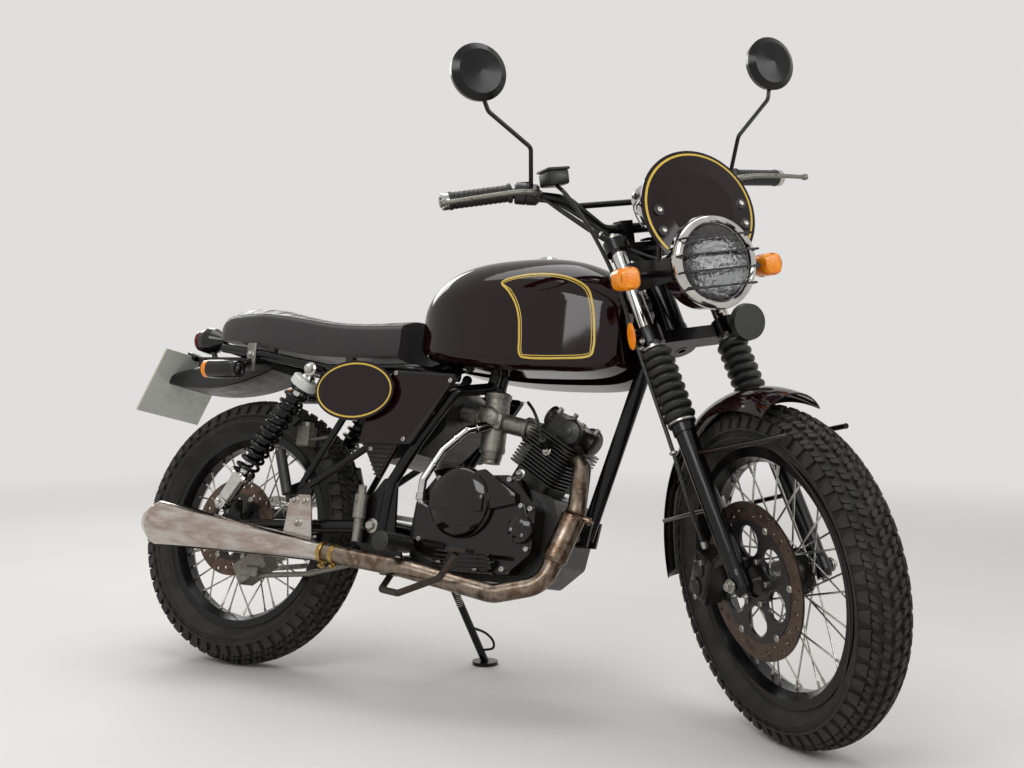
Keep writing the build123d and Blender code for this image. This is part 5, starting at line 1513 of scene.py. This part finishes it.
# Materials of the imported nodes

NODE_FINISHES = {
    "front_rim": baked_enamel, "rear_rim": baked_enamel, "front_spokes": drawn_wire,
    "rear_spokes": rear_wire, "front_disc": ground_disc, "rear_disc": rear_ground_disc,
    "rear_sprocket": zinc_bolt, "head_frame": baked_enamel, "main_frame": baked_enamel,
    "rear_uprights": baked_enamel, "peg_struts": baked_enamel, "swingarm": baked_enamel,
    "side_stand": baked_enamel, "fuel_tank": tank_lacquer, "filler_cap": chrome_plate,
    "side_panels": tank_lacquer, "air_box": moulded_plastic, "rear_guard": moulded_plastic,
    "rear_lamps": bright_plastic, "number_plate": plate_sheet, "crankcase": engine_enamel,
    "engine_covers": polished_enamel, "cylinder": engine_enamel, "cylinder_head": engine_enamel,
    "carburettor": cast_alloy, "exhaust_header": heat_tinted_pipe, "silencer": filmed_chrome,
    "foot_rests": soft_rubber, "pedals": worn_enamel, "rear_brake": cast_alloy, "rear_axle": zinc_bolt,
    "fork_yokes": baked_enamel, "fork_tubes": chrome_plate, "fork_sliders": baked_enamel,
    "front_axle": zinc_bolt, "front_guard": tank_lacquer, "headlamp_shell": tank_lacquer,
    "headlamp_brackets": baked_enamel, "fly_screen": tank_lacquer, "horn": moulded_plastic,
    "handlebar": baked_enamel, "mirrors": baked_enamel, "front_caliper": engine_enamel,
}


def dress_nodes():
    """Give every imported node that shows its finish."""
    for node, maker in NODE_FINISHES.items():
        data = frame["nodes"][node].data
        data.materials.clear()
        data.materials.append(finish(maker))


# Stage


CAMERA_PLACE = Vector((1.4435, -2.4710, 0.7315))
CAMERA_YAW = 120.08
CAMERA_PITCH = -1.46
CAMERA_ROLL = 0.16
CAMERA_LENS = 45.32
BACKGROUND = "#efeeec"
BACKGROUND_STRENGTH = 0.86
FLOOR_RADIUS = 14000
LAMPS_AIM = Vector((0, 0, 0.5))


def pale_floor():
    """Matt painted floor: pale near the object and melting into the pale background far off."""
    material = surface("pale_floor", ["#dcdad7", "#e0dedb"], 0.7, patch_mm=900, spread=0.03)
    tree = material.node_tree
    place = add(tree, "ShaderNodeTexCoord").outputs["Object"]
    reach = add(tree, "ShaderNodeVectorMath", {"operation": "LENGTH"})
    tree.links.new(place, reach.inputs[0])
    far = add(tree, "ShaderNodeMapRange",
              {"From Min": 1.6, "From Max": 5.5, "interpolation_type": "SMOOTHSTEP"},
              {"Value": reach.outputs["Value"]})
    glow = add(tree, "ShaderNodeEmission", {"Color": colour(BACKGROUND), "Strength": BACKGROUND_STRENGTH})
    mix = add(tree, "ShaderNodeMixShader")
    tree.links.new(far.outputs["Result"], mix.inputs[0])
    tree.links.new(tree.nodes["Principled BSDF"].outputs["BSDF"], mix.inputs[1])
    tree.links.new(glow.outputs["Emission"], mix.inputs[2])
    tree.links.new(mix.outputs["Shader"], tree.nodes["Material Output"].inputs["Surface"])
    return material


def build_stage(key_power, world_strength):
    """Camera where the photograph was taken, four soft lamps, a pale floor and a pale world."""
    scene = bpy.context.scene
    scene.view_settings.view_transform = "Standard"
    lens = bpy.data.cameras.new("camera")
    lens.lens = CAMERA_LENS
    lens.sensor_width = 36.0
    lens.clip_end = 100.0
    camera = bpy.data.objects.new("camera", lens)
    scene.collection.objects.link(camera)
    yaw, pitch = math.radians(CAMERA_YAW), math.radians(CAMERA_PITCH)
    aim = Vector((math.cos(pitch) * math.cos(yaw), math.cos(pitch) * math.sin(yaw), math.sin(pitch)))
    look = aim.to_track_quat("-Z", "Y").to_matrix().to_4x4()
    roll = Matrix.Rotation(math.radians(CAMERA_ROLL), 4, "Z")
    camera.matrix_world = Matrix.Translation(CAMERA_PLACE) @ look @ roll
    scene.camera = camera
    lamps = [
        # name, place, size, power share
        ("key", (0.4, -3.6, 3.2), 2.4, 1.0), ("top", (-0.6, 0.3, 3.6), 3.0, 0.8),
        ("rim", (-3.2, 1.6, 2.4), 2.0, 0.6), ("front", (3.4, -0.6, 2.0), 2.0, 0.45),
    ]
    for name, place, size, share in lamps:
        data = bpy.data.lights.new(name, "AREA")
        data.shape = "RECTANGLE"
        data.size = size
        data.size_y = size * 0.6
        data.energy = key_power * share
        lamp = bpy.data.objects.new(name, data)
        scene.collection.objects.link(lamp)
        turn = (LAMPS_AIM - Vector(place)).to_track_quat("-Z", "Y").to_matrix().to_4x4()
        lamp.matrix_world = Matrix.Translation(Vector(place)) @ turn
    world = bpy.data.worlds.new("pale_world")
    scene.world = world
    world.use_nodes = True
    tree = world.node_tree
    background = next(n for n in tree.nodes if n.bl_idname == "ShaderNodeBackground")
    background.inputs["Color"].default_value = colour(BACKGROUND)
    path = add(tree, "ShaderNodeLightPath")
    seen = path.outputs["Is Camera Ray"]
    for other in ("Is Glossy Ray", "Is Transmission Ray"):
        either = add(tree, "ShaderNodeMath", {"operation": "MAXIMUM"})
        tree.links.new(seen, either.inputs[0])
        tree.links.new(path.outputs[other], either.inputs[1])
        seen = either.outputs[0]
    strength = add(tree, "ShaderNodeMapRange", {"To Min": world_strength, "To Max": BACKGROUND_STRENGTH},
                   {"Value": seen})
    tree.links.new(strength.outputs["Result"], background.inputs["Strength"])
    floor = Form()
    floor.turned((0, 0, -0.4), (0, 0, -1), [(0, FLOOR_RADIUS), (20, FLOOR_RADIUS)], 96)
    data = bpy.data.meshes.new("floor")
    floor.mesh.to_mesh(data)
    floor.mesh.free()
    data.transform(Matrix.Scale(MM, 4))
    stage = bpy.data.objects.new("floor", data)
    scene.collection.objects.link(stage)
    data.materials.append(pale_floor())


# Settings, operators, panel


class MotorcycleWheelSettings(bpy.types.PropertyGroup):
    """Sizes of the tyres' tread."""
    pitches: IntProperty(name="Tread pitches", description="Blocks round the front tyre", default=58,
                         min=20, max=90)
    block_height: FloatProperty(name="Block height", description="Height of the tread blocks in millimetres",
                                default=7.5, min=2, max=14)


class MotorcycleBodySettings(bpy.types.PropertyGroup):
    """Sizes of the seat's ribs and the coach lines."""
    line_width: FloatProperty(name="Line width", description="Width of the gold lines in millimetres",
                              default=4.2, min=1)
    rib_pitch: FloatProperty(name="Rib pitch", description="Distance between sewn ribs in millimetres",
                             default=46.0, min=10)
    rib_depth: FloatProperty(name="Rib depth", description="Depth of the sewn channels in millimetres",
                             default=3.4, min=0)


class MotorcycleSuspensionSettings(bpy.types.PropertyGroup):
    """Counts of coils, folds and chain links."""
    coil_turns: IntProperty(name="Coil turns", description="Turns of the rear springs", default=12, min=4)
    gaiter_folds: IntProperty(name="Gaiter folds", description="Folds of each fork gaiter", default=8, min=3)
    chain_links: IntProperty(name="Chain links", description="Links of the chain, an even number",
                             default=110, min=20)


class MotorcyclePaintSettings(bpy.types.PropertyGroup):
    """Colours of the lacquer and the lines."""
    tank_colour: FloatVectorProperty(name="Tank colour", description="Lacquer of the tank and panels",
                                     subtype="COLOR",
                                     default=colour("#150408")[:3], min=0, max=1)
    line_colour: FloatVectorProperty(name="Line colour", description="Gold of the coach lines",
                                     subtype="COLOR",
                                     default=colour("#d8b74a")[:3], min=0, max=1)


class MotorcycleStageSettings(bpy.types.PropertyGroup):
    """Strengths of the light."""
    key_power: FloatProperty(name="Lamp power", description="Power of the largest lamp", default=60.0,
                             unit="POWER")
    world_strength: FloatProperty(name="World strength", description="Light from all round", default=0.5,
                                  min=0)


class MOTORCYCLE_OT_stage(bpy.types.Operator):
    """Camera, lamps and floor."""
    bl_idname = "motorcycle.stage"
    bl_label = "Stage"

    def execute(self, context):
        settings = context.scene.motorcycle_stage
        build_stage(settings.key_power, settings.world_strength)
        return {"FINISHED"}


class MOTORCYCLE_OT_finishes(bpy.types.Operator):
    """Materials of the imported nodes."""
    bl_idname = "motorcycle.finishes"
    bl_label = "Node finishes"

    def execute(self, context):
        dress_nodes()
        return {"FINISHED"}


class MOTORCYCLE_OT_wheels(bpy.types.Operator):
    """Tyres, nipples and disc rivets."""
    bl_idname = "motorcycle.wheels"
    bl_label = "Wheels"

    def execute(self, context):
        settings = context.scene.motorcycle_wheels
        build_wheels(settings.pitches, settings.block_height)
        return {"FINISHED"}


class MOTORCYCLE_OT_tank_lines(bpy.types.Operator):
    """Gold lines on the tank."""
    bl_idname = "motorcycle.tank_lines"
    bl_label = "Tank lines"

    def execute(self, context):
        settings = context.scene.motorcycle_body
        build_tank_lines(settings.line_width)
        return {"FINISHED"}


class MOTORCYCLE_OT_seat(bpy.types.Operator):
    """Seat cover, piping and buffers."""
    bl_idname = "motorcycle.seat"
    bl_label = "Seat"

    def execute(self, context):
        settings = context.scene.motorcycle_body
        build_seat(settings.rib_pitch, settings.rib_depth)
        return {"FINISHED"}


class MOTORCYCLE_OT_panels(bpy.types.Operator):
    """Rings, slats and screws of the side panels."""
    bl_idname = "motorcycle.panels"
    bl_label = "Side panels"

    def execute(self, context):
        build_panels()
        return {"FINISHED"}


class MOTORCYCLE_OT_shocks(bpy.types.Operator):
    """Shocks with open coils."""
    bl_idname = "motorcycle.shocks"
    bl_label = "Rear shocks"

    def execute(self, context):
        settings = context.scene.motorcycle_suspension
        build_shocks(settings.coil_turns)
        return {"FINISHED"}


class MOTORCYCLE_OT_gaiters(bpy.types.Operator):
    """Gaiters and clips."""
    bl_idname = "motorcycle.gaiters"
    bl_label = "Fork gaiters"

    def execute(self, context):
        settings = context.scene.motorcycle_suspension
        build_gaiters(settings.gaiter_folds)
        return {"FINISHED"}


class MOTORCYCLE_OT_headlamp(bpy.types.Operator):
    """Bowl, glass, rim and bars."""
    bl_idname = "motorcycle.headlamp"
    bl_label = "Headlamp"

    def execute(self, context):
        build_headlamp()
        return {"FINISHED"}


class MOTORCYCLE_OT_indicators(bpy.types.Operator):
    """Amber lenses and reflectors."""
    bl_idname = "motorcycle.indicators"
    bl_label = "Indicators"

    def execute(self, context):
        build_indicators()
        return {"FINISHED"}


class MOTORCYCLE_OT_screen(bpy.types.Operator):
    """Gold line and bolts of the screen."""
    bl_idname = "motorcycle.screen"
    bl_label = "Screen"

    def execute(self, context):
        build_screen()
        return {"FINISHED"}


class MOTORCYCLE_OT_speedometer(bpy.types.Operator):
    """Chrome case and dial."""
    bl_idname = "motorcycle.speedometer"
    bl_label = "Speedometer"

    def execute(self, context):
        build_speedometer()
        return {"FINISHED"}


class MOTORCYCLE_OT_controls(bpy.types.Operator):
    """Grips, levers, switch boxes and mirrors."""
    bl_idname = "motorcycle.controls"
    bl_label = "Hand controls"

    def execute(self, context):
        build_controls()
        return {"FINISHED"}


class MOTORCYCLE_OT_cables(bpy.types.Operator):
    """Cables and the brake hose."""
    bl_idname = "motorcycle.cables"
    bl_label = "Cables"

    def execute(self, context):
        build_cables()
        return {"FINISHED"}


class MOTORCYCLE_OT_engine(bpy.types.Operator):
    """Covers, screws, carburettor and pipes."""
    bl_idname = "motorcycle.engine"
    bl_label = "Engine"

    def execute(self, context):
        build_engine_trim()
        return {"FINISHED"}


class MOTORCYCLE_OT_exhaust(bpy.types.Operator):
    """Weld rings, clamps and bolts."""
    bl_idname = "motorcycle.exhaust"
    bl_label = "Exhaust"

    def execute(self, context):
        build_exhaust_trim()
        return {"FINISHED"}


class MOTORCYCLE_OT_chain(bpy.types.Operator):
    """Link plates and pins."""
    bl_idname = "motorcycle.chain"
    bl_label = "Chain"

    def execute(self, context):
        settings = context.scene.motorcycle_suspension
        build_chain(settings.chain_links)
        return {"FINISHED"}


class MOTORCYCLE_OT_tail(bpy.types.Operator):
    """Tail lamp, straps and plate."""
    bl_idname = "motorcycle.tail"
    bl_label = "Tail"

    def execute(self, context):
        build_tail()
        return {"FINISHED"}


class MOTORCYCLE_OT_brakes(bpy.types.Operator):
    """Calipers and screws."""
    bl_idname = "motorcycle.brakes"
    bl_label = "Brakes"

    def execute(self, context):
        build_brakes()
        return {"FINISHED"}


class MOTORCYCLE_OT_small_parts(bpy.types.Operator):
    """Nuts, rubbers and the stand's wire loop."""
    bl_idname = "motorcycle.small_parts"
    bl_label = "Small parts"

    def execute(self, context):
        build_small_parts()
        return {"FINISHED"}


# In the order in which they run
OPERATORS = [
    MOTORCYCLE_OT_stage, MOTORCYCLE_OT_finishes, MOTORCYCLE_OT_wheels, MOTORCYCLE_OT_tank_lines,
    MOTORCYCLE_OT_seat, MOTORCYCLE_OT_panels, MOTORCYCLE_OT_shocks, MOTORCYCLE_OT_gaiters,
    MOTORCYCLE_OT_headlamp, MOTORCYCLE_OT_indicators, MOTORCYCLE_OT_screen,
    MOTORCYCLE_OT_speedometer, MOTORCYCLE_OT_controls, MOTORCYCLE_OT_cables, MOTORCYCLE_OT_engine,
    MOTORCYCLE_OT_exhaust, MOTORCYCLE_OT_chain, MOTORCYCLE_OT_tail, MOTORCYCLE_OT_brakes,
    MOTORCYCLE_OT_small_parts,
]
SETTINGS = {
    "motorcycle_wheels": MotorcycleWheelSettings, "motorcycle_body": MotorcycleBodySettings,
    "motorcycle_suspension": MotorcycleSuspensionSettings, "motorcycle_paint": MotorcyclePaintSettings,
    "motorcycle_stage": MotorcycleStageSettings,
}


class MOTORCYCLE_PT_panel(bpy.types.Panel):
    """Lists the operators of the motorcycle."""
    bl_idname = "MOTORCYCLE_PT_panel"
    bl_label = "Scrambler motorcycle"
    bl_space_type = "VIEW_3D"
    bl_region_type = "UI"
    bl_category = "Motorcycle"

    def draw(self, context):
        """Draw the settings and one button for each operator."""
        for name, group in SETTINGS.items():
            box = self.layout.box()
            for key in group.__annotations__:
                box.prop(getattr(context.scene, name), key)
        for made in OPERATORS:
            self.layout.operator(made.bl_idname)


def register():
    """Register the settings, the operators and the panel."""
    for name, group in SETTINGS.items():
        bpy.utils.register_class(group)
        setattr(bpy.types.Scene, name, bpy.props.PointerProperty(type=group))
    for made in OPERATORS:
        bpy.utils.register_class(made)
    bpy.utils.register_class(MOTORCYCLE_PT_panel)


def unregister():
    """Undo register."""
    bpy.utils.unregister_class(MOTORCYCLE_PT_panel)
    for made in reversed(OPERATORS):
        bpy.utils.unregister_class(made)
    for name, group in SETTINGS.items():
        delattr(bpy.types.Scene, name)
        bpy.utils.unregister_class(group)


def main():
    """Build everything."""
    register()
    for made in OPERATORS:
        family, action = made.bl_idname.split(".")
        getattr(getattr(bpy.ops, family), action)()


if __name__ == "__main__":
    main()
